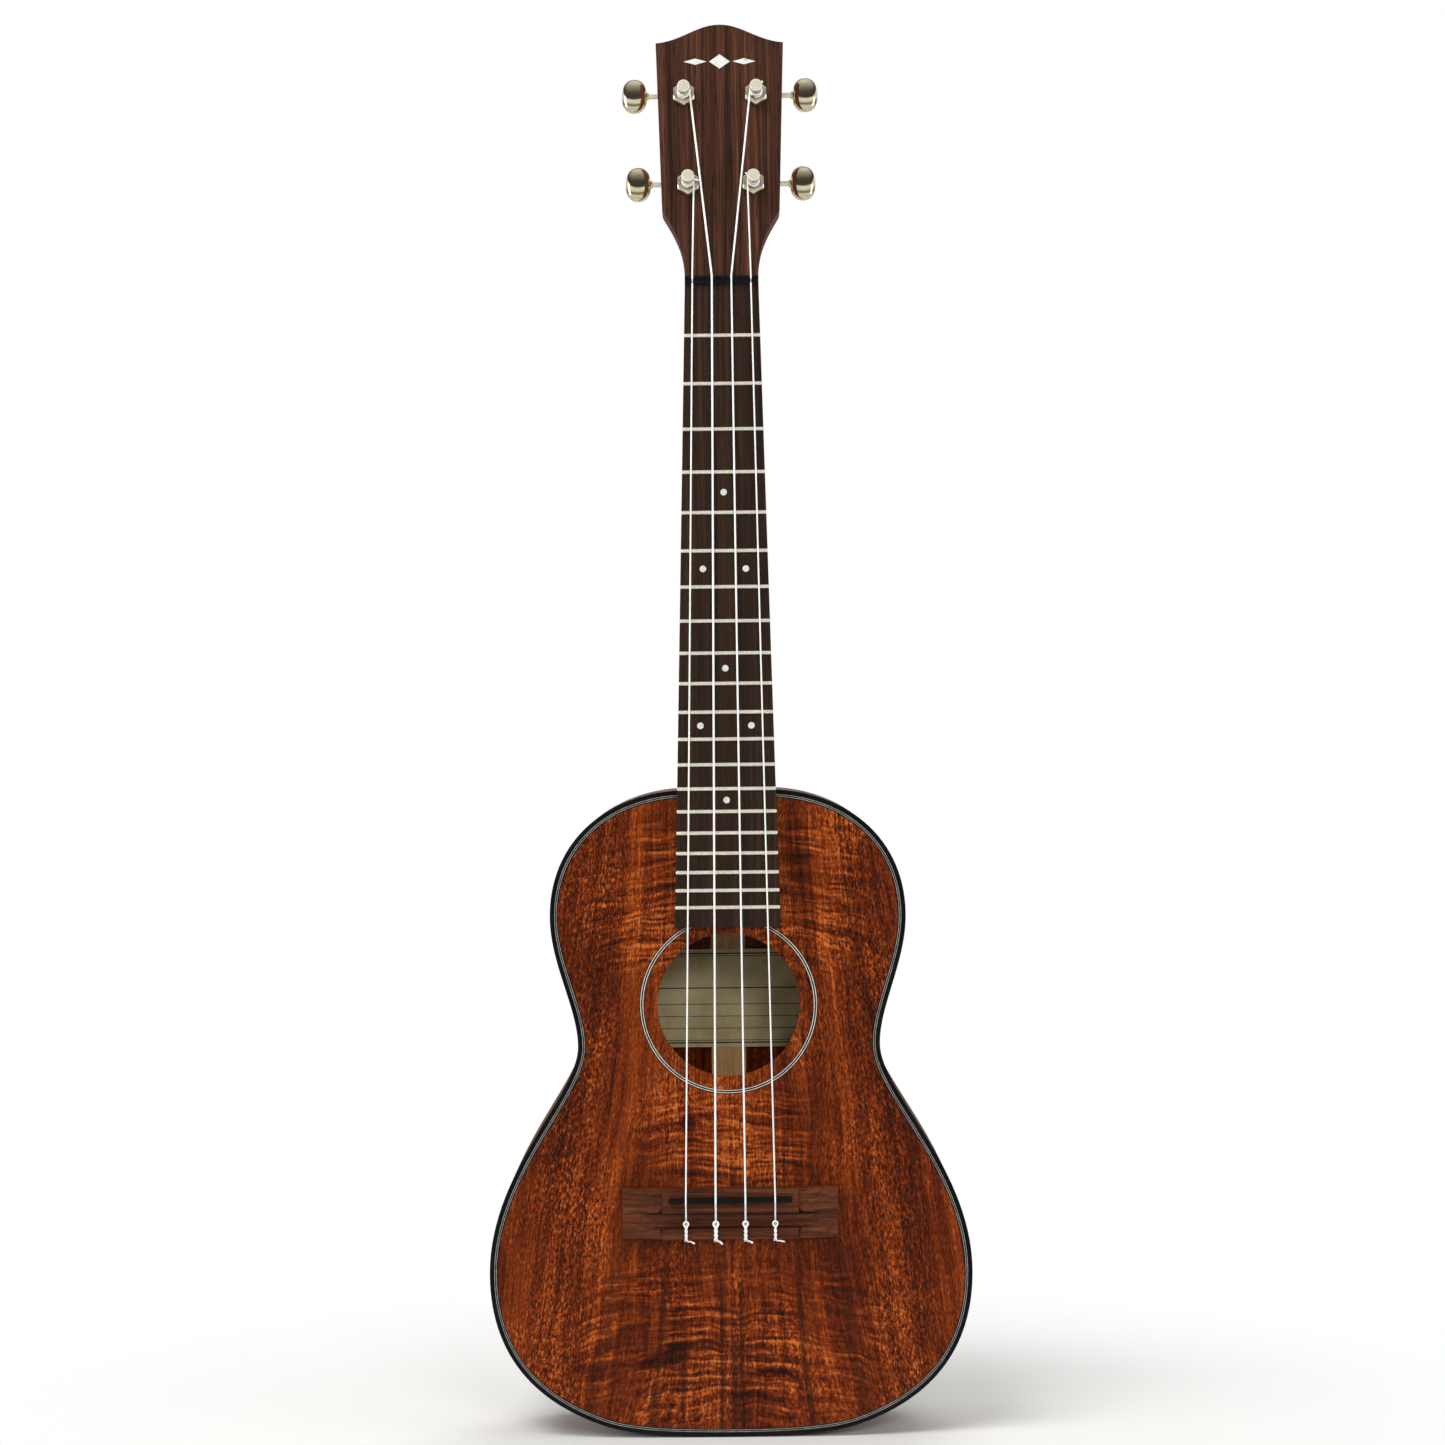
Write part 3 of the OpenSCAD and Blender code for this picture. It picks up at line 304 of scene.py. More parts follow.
def plain_wood(name, dark, light, seed, along="Z", ring=0.16, hair=1.3, stretch=0.02, pore=0.35,
               rough=0.55, coat=0.0, relief=0.00012, vein=0.0, tilt=0.0, painted_corner_shade=()):
    """Straight-grained wood. ring and hair are the grain's scales across it, stretch its scale along it.

    tilt leans the grain back from upright, in degrees. The last argument paints shade along inner corners
    that run across, each given as (z, half width, reach to either side, amount).
    """
    g = Graph(name)
    u, v, w = (g.y, g.z, g.x) if along == "X" else (g.x, g.y, g.z)
    if tilt:
        lean_sin, lean_cos = sin(radians(tilt)), cos(radians(tilt))
        v, w = v * lean_cos - w * lean_sin, v * lean_sin + w * lean_cos

    def scaled(a, b, c):
        return g.joined(u * a, v * b, w * c + seed)

    u = u + g.noise(scaled(0.02, 0.02, 0.008), 2.0) * 6
    broad = g.noise(scaled(ring, ring, stretch * 0.3), 4.0, 0.6)
    fine = g.noise(scaled(hair, hair, stretch), 4.0, 0.7)
    value = broad * 0.55 + fine * 0.5
    middle = tuple((a + b) / 2 for a, b in zip(dark, light))
    colour = g.ramp(value, [(0.36, rgb(*dark)), (0.53, rgb(*middle)), (0.70, rgb(*light))])
    dashes = g.fit(g.noise(scaled(hair * 2.2, hair * 2.2, stretch * 7), 2.0), 0.56, 0.68)
    colour = g.mix(dashes * pore, colour, rgb(*(c * 0.45 for c in dark)))
    if vein:
        lines = g.fit(g.noise(scaled(hair * 0.5, hair * 0.5, stretch * 0.5), 3.0), 0.50, 0.66)
        colour = g.mix(lines * vein, colour, rgb(*(c * 0.55 for c in dark)))
    # Painted shade: the colour darkens along each inner corner, where shade falls
    for shade_z, half_width, reach, amount in painted_corner_shade:
        close = g.fit(abs(g.z - shade_z), half_width, half_width * 0.3)
        inside = g.fit(abs(g.x), reach, reach - 4)
        colour = g.mix(close * inside * amount, colour, rgb(14, 7, 4))
    shine = g.fit(value, 0.3, 0.75, rough + 0.06, rough - 0.05)
    return g.finish(colour, shine, g.bump(fine - dashes * 0.6, relief, 0.6), Specular_IOR_Level=0.16,
                    Coat_Weight=coat, Coat_Roughness=0.2)


def mottled(name, base, other, scale=0.5, rough=(0.3, 0.4), metallic=0.0, relief=0.0, **sockets):
    """A plain finish with slight unevenness in its colour, gloss and surface."""
    g = Graph(name)
    cloud = g.noise(g.scaled(scale), 4.0, 0.6)
    colour = g.mix(g.fit(cloud, 0.35, 0.65), rgb(*base), rgb(*other))
    shine = g.fit(cloud, 0.3, 0.7, rough[0], rough[1])
    normal = g.bump(cloud, relief, 1.0) if relief else None
    return g.finish(colour, shine, normal, Metallic=metallic, **sockets)


def brushed(name, base, other, axis, rough=(0.16, 0.3), scale=6.0, metallic=1.0, painted_shade_bands=()):
    """Worked metal with fine marks round or along an axis given by three scales.

    The last argument paints shade: it darkens bands given as (height over the head's face, half width,
    amount).
    """
    g = Graph(name)
    lines = g.noise(g.scaled(axis), 3.0, 0.6, scale=scale)
    spots = g.noise(g.scaled(0.45), 3.0, 0.55)
    colour = g.mix(g.fit(spots, 0.35, 0.68), rgb(*base), rgb(*other))
    # Painted shade: each band darkens the metal where shade falls
    for height, half_width, amount in painted_shade_bands:
        dot = g.node("ShaderNodeVectorMath", {0: g.mm, 1: HEAD_OUT}, operation="DOT_PRODUCT")
        away = abs(Value(g, dot.outputs["Value"]) - (HEAD_ORIGIN.dot(HEAD_OUT) + height))
        colour = g.mix(g.fit(away, half_width, half_width * 0.5) * amount, colour, rgb(66, 54, 34))
    shine = g.fit(lines * 0.6 + spots * 0.4, 0.3, 0.7, *rough)
    return g.finish(colour, shine, g.bump(lines, 0.00002, 0.35), Metallic=metallic)


def pearl_shell():
    g = Graph("pearl_shell")
    layers = g.noise(g.scaled((0.5, 0.5, 1.1)), 5.0, 0.6, 1.5)
    colour = g.ramp(layers, [(0.35, rgb(168, 176, 178)), (0.48, rgb(226, 224, 214)),
                             (0.56, rgb(206, 214, 218)), (0.66, rgb(240, 234, 224))])
    return g.finish(colour, g.fit(layers, 0.3, 0.7, 0.16, 0.32), Coat_Weight=0.5, Coat_Roughness=0.08)


def printed_label():
    """Aged paper with a plain double border and ruled lines."""
    (left, right), (bottom, top) = cad_span("label", X), cad_span("label", Z)
    mid_x, mid_z = (left + right) / 2, (bottom + top) / 2
    half_x, half_z = (right - left) / 2, (top - bottom) / 2
    g = Graph("aged_label_paper")
    inward = g.math("MINIMUM", half_x - abs(g.x - mid_x), half_z - abs(g.z - mid_z))
    fibres = g.noise(g.scaled(1.4), 5.0, 0.7)
    stain = g.noise(g.scaled(0.06), 3.0, 0.6)
    paper = g.mix(g.fit(stain, 0.35, 0.7), rgb(214, 198, 154), rgb(190, 170, 122))
    paper = g.mix(fibres * 0.25, paper, rgb(176, 162, 124))
    ink = 0.0
    for offset, width in ((2.2, 0.45), (3.4, 0.22)):
        ink = g.math("MAXIMUM", ink, g.fit(abs(inward - offset), width, width * 0.5))
    inside = g.fit(inward, 5.5, 6.0)
    for height, width in ((mid_z + 5, 0.4), (mid_z - 3, 0.22), (mid_z - 9, 0.22), (mid_z - 15, 0.22)):
        ink = g.math("MAXIMUM", ink, g.fit(abs(g.z - height), width, width * 0.5) * inside)
    worn = ink * g.fit(fibres, 0.25, 0.5)
    colour = g.mix(worn, paper, rgb(44, 36, 28))
    return g.finish(colour, 0.85, g.bump(fibres, 0.00005, 0.5))


TOP_FIGURE = [(36, 256, 34, 42, 0.95), (26, 44, 56, 44, 0.95), (14, 142, 34, 30, 0.85)]
TOP_STREAKS = [(2, 4, 30, 70, 0.85), (5, 1.5, 66, 84, 1.0), (-5, 1.3, 64, 80, 0.8), (-20, 1.2, 30, 60, 0.8),
               (28, 1.5, 60, 120, 0.85), (-28, 1.5, 60, 120, 0.85), (44, 4, 60, 150, 0.55),
               (-46, 4, 50, 140, 0.55), (-4, 3, 90, 110, 0.5)]
KOA_TOP = figured_wood("koa_soundboard", 1.3, "matched", TOP_FIGURE, TOP_STREAKS, 73)
KOA_BACK = figured_wood("koa_back", 7.9, "matched", [(52, 240, 60, 70, 0.8), (60, 80, 70, 90, 0.8)],
                        [(3, 5, 300, 340, 0.5), (36, 4, 300, 330, 0.5)], 60, 0.96)
KOA_SIDE = figured_wood("koa_sides", 4.1, "wrapped", [(0, 110, 90, 90, 0.85), (0, 270, 90, 70, 0.85)],
                        [(-14, 2, 300, 340, 0.4), (22, 3, 300, 340, 0.4)], 60, 0.95)
HEAD_WOOD = plain_wood("rosewood_head", (36, 20, 14), (104, 64, 46), 2.0, ring=0.25, hair=1.0, stretch=0.010,
                       pore=0.8, rough=0.45, vein=0.75, tilt=HEAD_TILT)
BOARD_WOOD = plain_wood("rosewood_fretboard", (24, 15, 10), (66, 45, 31), 5.0, ring=0.3, stretch=0.012,
                        pore=0.5, rough=0.5, vein=0.4)
# Painted shade in the trough, along the foot of the saddle bar and along the tie bar's edge
BRIDGE_WOOD = plain_wood("rosewood_bridge", (50, 22, 12), (124, 68, 38), 9.0, along="X", ring=0.3, hair=1.6,
                         stretch=0.03, pore=0.7, rough=0.46, vein=0.45,
                         painted_corner_shade=[(BRIDGE_Z + 12.0, 0.9, 42, 0.9), (BRIDGE_Z + 5.5, 0.6, 38, 0.6)])
NECK_WOOD = plain_wood("mahogany_neck", (74, 34, 19), (128, 66, 38), 3.0, ring=0.12, hair=1.1, stretch=0.02,
                       pore=0.6, rough=0.42, coat=0.12)
SPRUCE, SPRUCE_X = (plain_wood(name, (176, 134, 84), (222, 186, 134), seed, along=way, ring=0.5, hair=1.5,
                               stretch=0.012, pore=0.15, rough=0.7)
                    for name, seed, way in (("spruce_brace", 6.0, "Z"), ("spruce_cross_brace", 6.5, "X")))
BLOCK_WOOD = plain_wood("mahogany_block", (104, 58, 34), (158, 98, 62), 8.0, ring=0.12, hair=1.0, pore=0.5,
                        rough=0.65)
BLACK_TRIM = mottled("black_binding", (6, 6, 6), (15, 14, 14), 0.08, (0.34, 0.46), Specular_IOR_Level=0.12)
BLACK_LINE = mottled("black_line", (8, 7, 7), (18, 16, 15), 0.5, (0.35, 0.5), Specular_IOR_Level=0.12)
WHITE_LINE = mottled("white_line", (214, 210, 196), (186, 184, 172), 0.4, (0.35, 0.5))
GREY_LINE = mottled("grey_line", (158, 158, 154), (130, 132, 128), 0.4, (0.35, 0.5), Specular_IOR_Level=0.25)
BLACK_BONE = mottled("black_nut", (7, 7, 7), (15, 15, 16), 0.5, (0.26, 0.4), relief=0.00002,
                     Specular_IOR_Level=0.16)
FRET_METAL = brushed("fret_nickel", (250, 246, 230), (234, 228, 208), (0.15, 1.0, 1.0), (0.2, 0.32), 6.0, 0.6)
TUNER_METAL = brushed("tuner_plating", (232, 222, 190), (224, 212, 178), (1.0, 1.0, 1.0), (0.07, 0.13), 0.8)
# Painted shade under the post's cap and round the post's foot where it stands on the bushing
POST_METAL = brushed("post_plating", (255, 248, 226), (246, 237, 212), (0.4, 1.0, 1.0), (0.22, 0.32), 2.5,
                     0.55, painted_shade_bands=[(8.6, 1.9, 0.85), (3.2, 0.8, 0.7)])
# Painted shade at the bushing's foot and on the washer under it
NUT_METAL = brushed("bushing_plating", (236, 226, 198), (220, 209, 180), (0.4, 1.0, 1.0), (0.18, 0.28), 2.5,
                    0.8, painted_shade_bands=[(0.4, 0.9, 0.75)])
GEAR_BRASS = brushed("gear_brass", (206, 164, 88), (170, 128, 60), (1.0, 1.0, 1.0), (0.25, 0.4))
STEEL = brushed("bolt_steel", (150, 150, 154), (118, 118, 124), (1.0, 1.0, 0.2), (0.25, 0.4))
BAR_METAL = mottled("blackened_bar", (46, 46, 50), (32, 32, 36), 0.3, (0.4, 0.55), metallic=0.9)
NYLON = mottled("string_nylon", (252, 252, 249), (240, 241, 239), 0.25, (0.24, 0.36), Subsurface_Weight=0.2,
                Subsurface_Scale=0.001)
PEARL = pearl_shell()
LABEL = printed_label()


# ---- Mesh tools ----
scene = bpy.context.scene


def new_object(name, data):
    made = bpy.data.objects.new(name, data)
    scene.collection.objects.link(made)
    return made


def shade_smooth(mesh, sharp_from):
    """Smooth shading, apart from edges sharper than sharp_from degrees."""
    mesh.polygons.foreach_set("use_smooth", [True] * len(mesh.polygons))
    mesh.set_sharp_from_angle(angle=radians(sharp_from))


def add_piece(name, shape, materials, stands_for, body="instrument", face_mats=None, sharp_from=35):
    """Makes a piece that stands for a CAD node, from a shape: its points in metres and its faces."""
    points, faces = shape
    mesh = bpy.data.meshes.new(name)
    mesh.from_pydata([tuple(p) for p in points], [], faces)
    for material in materials:
        mesh.materials.append(material)
    if face_mats is not None:
        mesh.polygons.foreach_set("material_index", face_mats)
    made = bmesh.new()
    made.from_mesh(mesh)
    bmesh.ops.recalc_face_normals(made, faces=made.faces)
    made.to_mesh(mesh)
    made.free()
    shade_smooth(mesh, sharp_from)
    piece = new_object(name, mesh)
    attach(piece, body)
    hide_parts(stands_for)


def full_turn(count):
    """Even angles once round."""
    return [2 * pi * k / count for k in range(count)]


def angles(start, stop, by):
    """A range of whole degrees, in radians."""
    return [radians(a) for a in range(start, stop, by)]


def grid_faces(rows, columns, loop_rows=False, loop_columns=False):
    """Quads over a grid of points stored row by row."""
    faces = []
    for i in range(rows if loop_rows else rows - 1):
        for j in range(columns if loop_columns else columns - 1):
            i2, j2 = (i + 1) % rows, (j + 1) % columns
            faces.append((i * columns + j, i * columns + j2, i2 * columns + j2, i2 * columns + j))
    return faces


def capped_faces(rows, columns):
    """Faces of rows of points that each close on themselves, with a flat face over the first and the last."""
    last = (rows - 1) * columns
    ends = [tuple(range(columns)), tuple(range(last, last + columns))]
    return grid_faces(rows, columns, loop_columns=True) + ends


TUBE_SIDES = 12


def tube(path, radius):
    """Points and faces of a round tube with domed ends along a path in metres."""
    path = [Vector(p) for p in path]
    tangents = [(b - a).normalized() for a, b in zip(path[:1] + path, path[1:] + path[-1:])]
    side = tangents[0].orthogonal().normalized()
    points, rows = [], []
    for centre, way in zip(path, tangents):
        side = (side - way * side.dot(way)).normalized()
        rows.append((centre, way, side, radius))

    def dome(end, sign):
        centre, way, side, radius = end
        return [(centre + way * radius * out * sign, way, side, radius * thin)
                for thin, out in ((0.92, 0.38), (0.71, 0.71), (0.38, 0.92))]

    rows = dome(rows[0], -1)[::-1] + rows + dome(rows[-1], 1)
    for centre, way, across, size in rows:
        up = way.cross(across)
        points += [centre + (across * cos(a) + up * sin(a)) * size for a in full_turn(TUBE_SIDES)]
    return points, capped_faces(len(rows), TUBE_SIDES)


def joined_parts(parts):
    """Several shapes as one."""
    points, faces = [], []
    for more_points, more_faces in parts:
        start = len(points)
        points.extend(more_points)
        faces.extend(tuple(v + start for v in face) for face in more_faces)
    return points, faces


def lathe(profile, place, segments=48):
    """Turns a profile of (radius, height) pairs about an axis. place(x, y, h) gives the point in metres."""
    points = [place(r * cos(a), r * sin(a), h) for r, h in profile for a in full_turn(segments)]
    return points, capped_faces(len(profile), segments)


def ring_of(place, section_at, segments):
    """A closed section of (radius, height) pairs turned about an axis; section_at(angle) may vary."""
    points = []
    for a in full_turn(segments):
        section = section_at(a)
        points += [place(r * cos(a), r * sin(a), h) for r, h in section]
    return points, grid_faces(segments, len(section), loop_rows=True, loop_columns=True)


def step(value, edge_at, width):
    """Rises smoothly from 0 to 1 as value passes edge_at."""
    t = np.clip((value - edge_at) / width + 0.5, 0, 1)
    return t * t * (3 - 2 * t)


def smooth_path(points, steps):
    """A Catmull-Rom curve through the points."""
    points = [Vector(p) for p in points]
    padded = [points[0] * 2 - points[1]] + points + [points[-1] * 2 - points[-2]]
    out = []
    for a, b, c, d in zip(padded, padded[1:], padded[2:], padded[3:]):
        for k in range(steps):
            t = k / steps
            out.append(0.5 * (2 * b + (c - a) * t + (2 * a - 5 * b + 4 * c - d) * t * t
                              + (3 * b - a - 3 * c + d) * t ** 3))
    out.append(points[-1])
    return out


# ---- Body outline: five curves a side, as the CAD has them ----
WIDEST_Z, WAIST_Z, UPPER_Z = 78.0, 186.3, 247.9
WAIST, UPPER_BOUT, FLAT_X = 71.9, 84.8, 18.5
TAIL_X, TAIL_Z = 63.6, 6.4
BODY_CURVES = [
    [(0, 0), (42.5, 0), (TAIL_X - 9.8, TAIL_Z - 3.6), (TAIL_X, TAIL_Z)],
    [(TAIL_X, TAIL_Z), (TAIL_X + 28, TAIL_Z + 10.4), (BODY_HALF, WIDEST_Z - 40.6), (BODY_HALF, WIDEST_Z)],
    [(BODY_HALF, WIDEST_Z), (BODY_HALF, WIDEST_Z + 49), (WAIST, WAIST_Z - 22.8), (WAIST, WAIST_Z)],
    [(WAIST, WAIST_Z), (WAIST, WAIST_Z + 18.3), (UPPER_BOUT, UPPER_Z - 22.4), (UPPER_BOUT, UPPER_Z)],
    [(UPPER_BOUT, UPPER_Z), (UPPER_BOUT, UPPER_Z + 37.4), (FLAT_X + 37.1, BODY_LEN), (FLAT_X, BODY_LEN)],
]
CURVE_STEPS = 30


def half_outline():
    """Points and inward normals of the right half, from the tail to the neck."""
    out = []
    for a, b, c, d in (map(np.array, curve) for curve in BODY_CURVES):
        for k in range(CURVE_STEPS):
            t = k / CURVE_STEPS
            here = (1 - t) ** 3 * a + 3 * t * (1 - t) ** 2 * b + 3 * t * t * (1 - t) * c + t ** 3 * d
            slope = (1 - t) ** 2 * (b - a) + 2 * t * (1 - t) * (c - b) + t * t * (d - c)
            out.append((here, np.array((-slope[1], slope[0])) / np.linalg.norm(slope)))
    out.append((np.array((FLAT_X, BODY_LEN)), np.array((0.0, -1.0))))
    return out


HALF = half_outline()
OUTLINE = HALF + [(p * (-1, 1), n * (-1, 1)) for p, n in reversed(HALF[1:])]


def back_y(z):
    """Depth of the back's outside at a height."""
    return DEPTH_TAIL - (DEPTH_TAIL - DEPTH_NECK) * z / BODY_LEN


def outline_sweep(name, profile, materials, stands_for, line_mats=(0,), from_back=False):
    """Sweeps a closed profile of (inset, depth) pairs, each side with its own material, round the body."""
    points = []
    for base, normal in OUTLINE:
        for inset, depth in profile:
            x, z = base + normal * inset
            points.append(spot(x, back_y(z) - depth if from_back else depth, z))
    faces = grid_faces(len(OUTLINE), len(profile), loop_rows=True, loop_columns=True)
    mats = list(line_mats) * (len(faces) // len(line_mats))
    add_piece(name, (points, faces), materials, stands_for, face_mats=mats)


def rounded_corner(r, steps=5):
    """Inset and depth round an outer edge of radius r."""
    return [(r - r * sin(pi / 2 * k / steps), r - r * cos(pi / 2 * k / steps)) for k in range(steps + 1)]


BIND_H = 5.0
INLAY_DEPTH = 1.2
PURFLING_LINES = [0.26, 0.56, 0.26, 0.52]
ROSETTE_R = 40.2
ROSETTE_LINES = [0.42, 0.38, 0.70, 0.38, 0.42]
edge = [(SIDE_T, 0)] + rounded_corner(0.7) + [(0, BIND_H), (SIDE_T, BIND_H)]
outline_sweep("front_binding", edge, [BLACK_TRIM], "top_binding")
outline_sweep("rear_binding", edge, [BLACK_TRIM], "back_binding", from_back=True)


def line_profile(start, widths):
    """A strip's profile made of lines side by side, and each line's material index for its face."""
    inset = start
    top, mats = [(inset, 0)], []
    for k, width in enumerate(widths):
        inset += width
        top.append((inset, 0))
        mats.append(k % 2)
    return top + [(inset, INLAY_DEPTH), (start, INLAY_DEPTH)], mats + [1, 1, 1]


purfling, purfling_mats = line_profile(SIDE_T, PURFLING_LINES)
outline_sweep("edge_lines", purfling, [GREY_LINE, BLACK_LINE], "top_purfling", purfling_mats)


def rosette_rings():
    """Fine black and white rings in one inlay."""
    rings, ring_mats = line_profile(ROSETTE_R, ROSETTE_LINES)
    segments = 160
    shape = ring_of(lambda x, z, depth: spot(x, depth, HOLE_Z + z), lambda a: rings, segments)
    add_piece("rosette_rings", shape, [BLACK_LINE, WHITE_LINE], "rosette",
              face_mats=ring_mats * segments)


rosette_rings()


# ---- Neck: the CAD solid, remeshed and eased where the shaft meets the head and the heel ----
def sharp_edge_points(mesh):
    """A search tree of closely spaced points along a mesh's sharp edges."""
    made = bmesh.new()
    made.from_mesh(mesh)
    bmesh.ops.remove_doubles(made, verts=made.verts, dist=0.001 * MM)
    found = []
    sharp, spacing = radians(40), 0.2 * MM
    for edge in made.edges:
        if len(edge.link_faces) == 2 and edge.calc_face_angle() > sharp:
            start, end = (v.co for v in edge.verts)
            count = max(1, int(edge.calc_length() / spacing))
            found += [start.lerp(end, k / count) for k in range(count + 1)]
    made.free()
    tree = kdtree.KDTree(len(found))
    for k, place in enumerate(found):
        tree.insert(place, k)
    tree.balance()
    return tree


VOXEL = 0.8
CORNER_GAP = 0.62
MERGE_GAP = 0.12


def eased_neck():
    """Remeshes the neck evenly and eases it. The head, the heel's end and the joints stay on the CAD."""
    source = frame["nodes"]["neck"]
    piece = new_object("carved_neck", source.data.copy())
    remesh = piece.modifiers.new("remesh", "REMESH")
    remesh.mode = "VOXEL"
    remesh.voxel_size = VOXEL * MM
    bpy.context.view_layer.update()
    depsgraph = bpy.context.evaluated_depsgraph_get()
    mesh = bpy.data.meshes.new_from_object(piece.evaluated_get(depsgraph))
    piece.modifiers.clear()
    piece.data = mesh
    count = len(mesh.vertices)
    points = np.zeros(count * 3)
    mesh.vertices.foreach_get("co", points)
    points = points.reshape(-1, 3)
    ends = np.zeros(len(mesh.edges) * 2, int)
    mesh.edges.foreach_get("vertices", ends)
    ends = ends.reshape(-1, 2)
    degree = np.bincount(ends.ravel(), minlength=count)[:, None]
    local = points / MM - np.array((0, FACE_Y, 0))
    height = local[:, 2]
    behind = np.clip((local[:, 1] - 5.5) / 2.0, 0, 1)
    near_nut = np.exp(-((height - NUT_Z - 1) / 13.0) ** 2)
    near_heel = np.exp(-((height - BODY_LEN - 30) / 16.0) ** 2) * step(height, BODY_LEN + 9, 8)
    shaft = 0.25 * step(height, BODY_LEN + 12, 10) * step(-height, -NUT_Z - 2, 10)
    weight = np.clip(np.maximum(near_nut, near_heel) + shaft, 0, 1) * behind

    def eased(places, amounts, rounds):
        for _ in range(rounds):
            total = np.zeros_like(places)
            np.add.at(total, ends[:, 0], places[ends[:, 1]])
            np.add.at(total, ends[:, 1], places[ends[:, 0]])
            places = places + 0.6 * amounts[:, None] * (total / degree - places)
        return places

    points = eased(points, weight, 60)
    faces = [tuple(face.vertices) for face in source.data.polygons]
    surface = bvhtree.BVHTree.FromPolygons([v.co for v in source.data.vertices], faces)
    corners = sharp_edge_points(source.data)
    behind_veneer = (np.array(HEAD_ORIGIN) - points / MM) @ np.array(HEAD_OUT) - VENEER_T
    joint_depth = np.where(height > NUT_Z + NUT_T, behind_veneer, points[:, 1] / MM - FACE_Y)
    snapped = np.maximum(step(height, NUT_Z + 22, 12), step(-height, -BODY_LEN - 10, 6))
    snapped = np.maximum(snapped, step(-joint_depth, -2.5, 2.5))
    for k in np.nonzero(snapped > 0.01)[0]:
        target = surface.find_nearest(Vector(points[k]))[0]
        corner, _, gap = corners.find(target)
        if gap < CORNER_GAP * MM and (joint_depth[k] < 2 or height[k] < BODY_LEN + 10):
            target = corner
        points[k] += snapped[k] * (np.array(target) - points[k])
    points = eased(points, step(height, NUT_Z + 12, 10) * np.clip(behind_veneer - 2, 0, 1), 10)
    mesh.vertices.foreach_set("co", points.ravel())
    made = bmesh.new()
    made.from_mesh(mesh)
    bmesh.ops.remove_doubles(made, verts=made.verts, dist=MERGE_GAP * MM)
    bmesh.ops.dissolve_degenerate(made, edges=made.edges, dist=0.01 * MM)
    made.to_mesh(mesh)
    made.free()
    mesh.materials.clear()
    mesh.materials.append(NECK_WOOD)
    shade_smooth(mesh, 48)
    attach(piece, "instrument")
    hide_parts("neck")


eased_neck()


# ---- Frets ----
def fret_z(n):
    """Each fret shortens the string by the twelfth root of two."""
    return NUT_Z - SCALE * (1 - 2 ** (-n / 12))


def board_half(z):
    return NUT_W / 2 + (NUT_Z - z) / BOARD_LEN * (BOARD_END_W - NUT_W) / 2


def one_fret(z):
    """A domed crown whose ends round over, on a thin tang."""
    half, crown, height, end_r = board_half(z) + 0.1, 0.9, 1.0, 1.1
    arc = [pi * k / 8 for k in range(9)]
    stations = [(half - end_r * (1 - sin(a)), max(cos(a) ** 0.7, 0.05))
                for a in (pi / 2 * k / 5 for k in range(6))]
    stations = [(-x, size) for x, size in reversed(stations)] + stations
    points = [spot(x, -BOARD_T - height * size * sin(a), z + crown * (0.7 + 0.3 * size) * cos(a))
              for x, size in stations for a in arc]
    tang_h, tang_half, tang_in = 2.0, 0.3, 0.8
    tang = [spot(x, -BOARD_T - y, z + dz) for x in (tang_in - half, half - tang_in)
            for y, dz in ((0.2, tang_half), (-tang_h, tang_half), (-tang_h, -tang_half), (0.2, -tang_half))]
    return joined_parts([(points, capped_faces(len(stations), len(arc))), (tang, capped_faces(2, 4))])


all_frets = joined_parts([one_fret(fret_z(n)) for n in range(1, FRET_N + 1)])
add_piece("crowned_frets", all_frets, [FRET_METAL], "frets")


# ---- Bridge: its height over the soundboard as a function of place ----
BAR_HALF = 32.4
TIE_H, SADDLE_BAR_H, TROUGH_H = 7.6, 7.0, 3.1
TIE_END, BAR_START = 5.3, 12.2
RIM_R = 0.7


def bridge_height(u, v):
    """Height at u across and v up from the bridge's lower edge."""
    au = np.abs(u)
    wing = 5.1 - 1.5 * step(au, 43, 18)
    raised = step(-au, -BAR_HALF, 0.7)
    upper = wing + (SADDLE_BAR_H - wing) * raised
    lower = wing + (TIE_H - wing) * raised
    corner = 3.6
    dip_u = np.clip(corner - (au - BAR_HALF), 0, corner)
    cut = np.where(au > BAR_HALF, corner - np.sqrt(corner ** 2 - dip_u ** 2), 0)
    in_trough = step(v, TIE_END - cut * 0.8, 0.5) * step(-v, -(BAR_START + cut), 0.5)
    fade = step(-au, -41.5, 9)
    middle = (TIE_END + BAR_START) / 2
    height = np.where(v > middle, upper, lower)
    floor = TROUGH_H + (wing - TROUGH_H) * (1 - fade)
    height = height + (floor - height) * in_trough
    scoop = 0.35 * np.exp(-((v - middle) / 2.2) ** 2) * fade
    rim = np.minimum(np.minimum(v, BRIDGE_LEN - v), BRIDGE_HALF - au)
    return height - scoop - RIM_R * (1 - np.sqrt(1 - (1 - np.clip(rim / RIM_R, 0, 1)) ** 2))


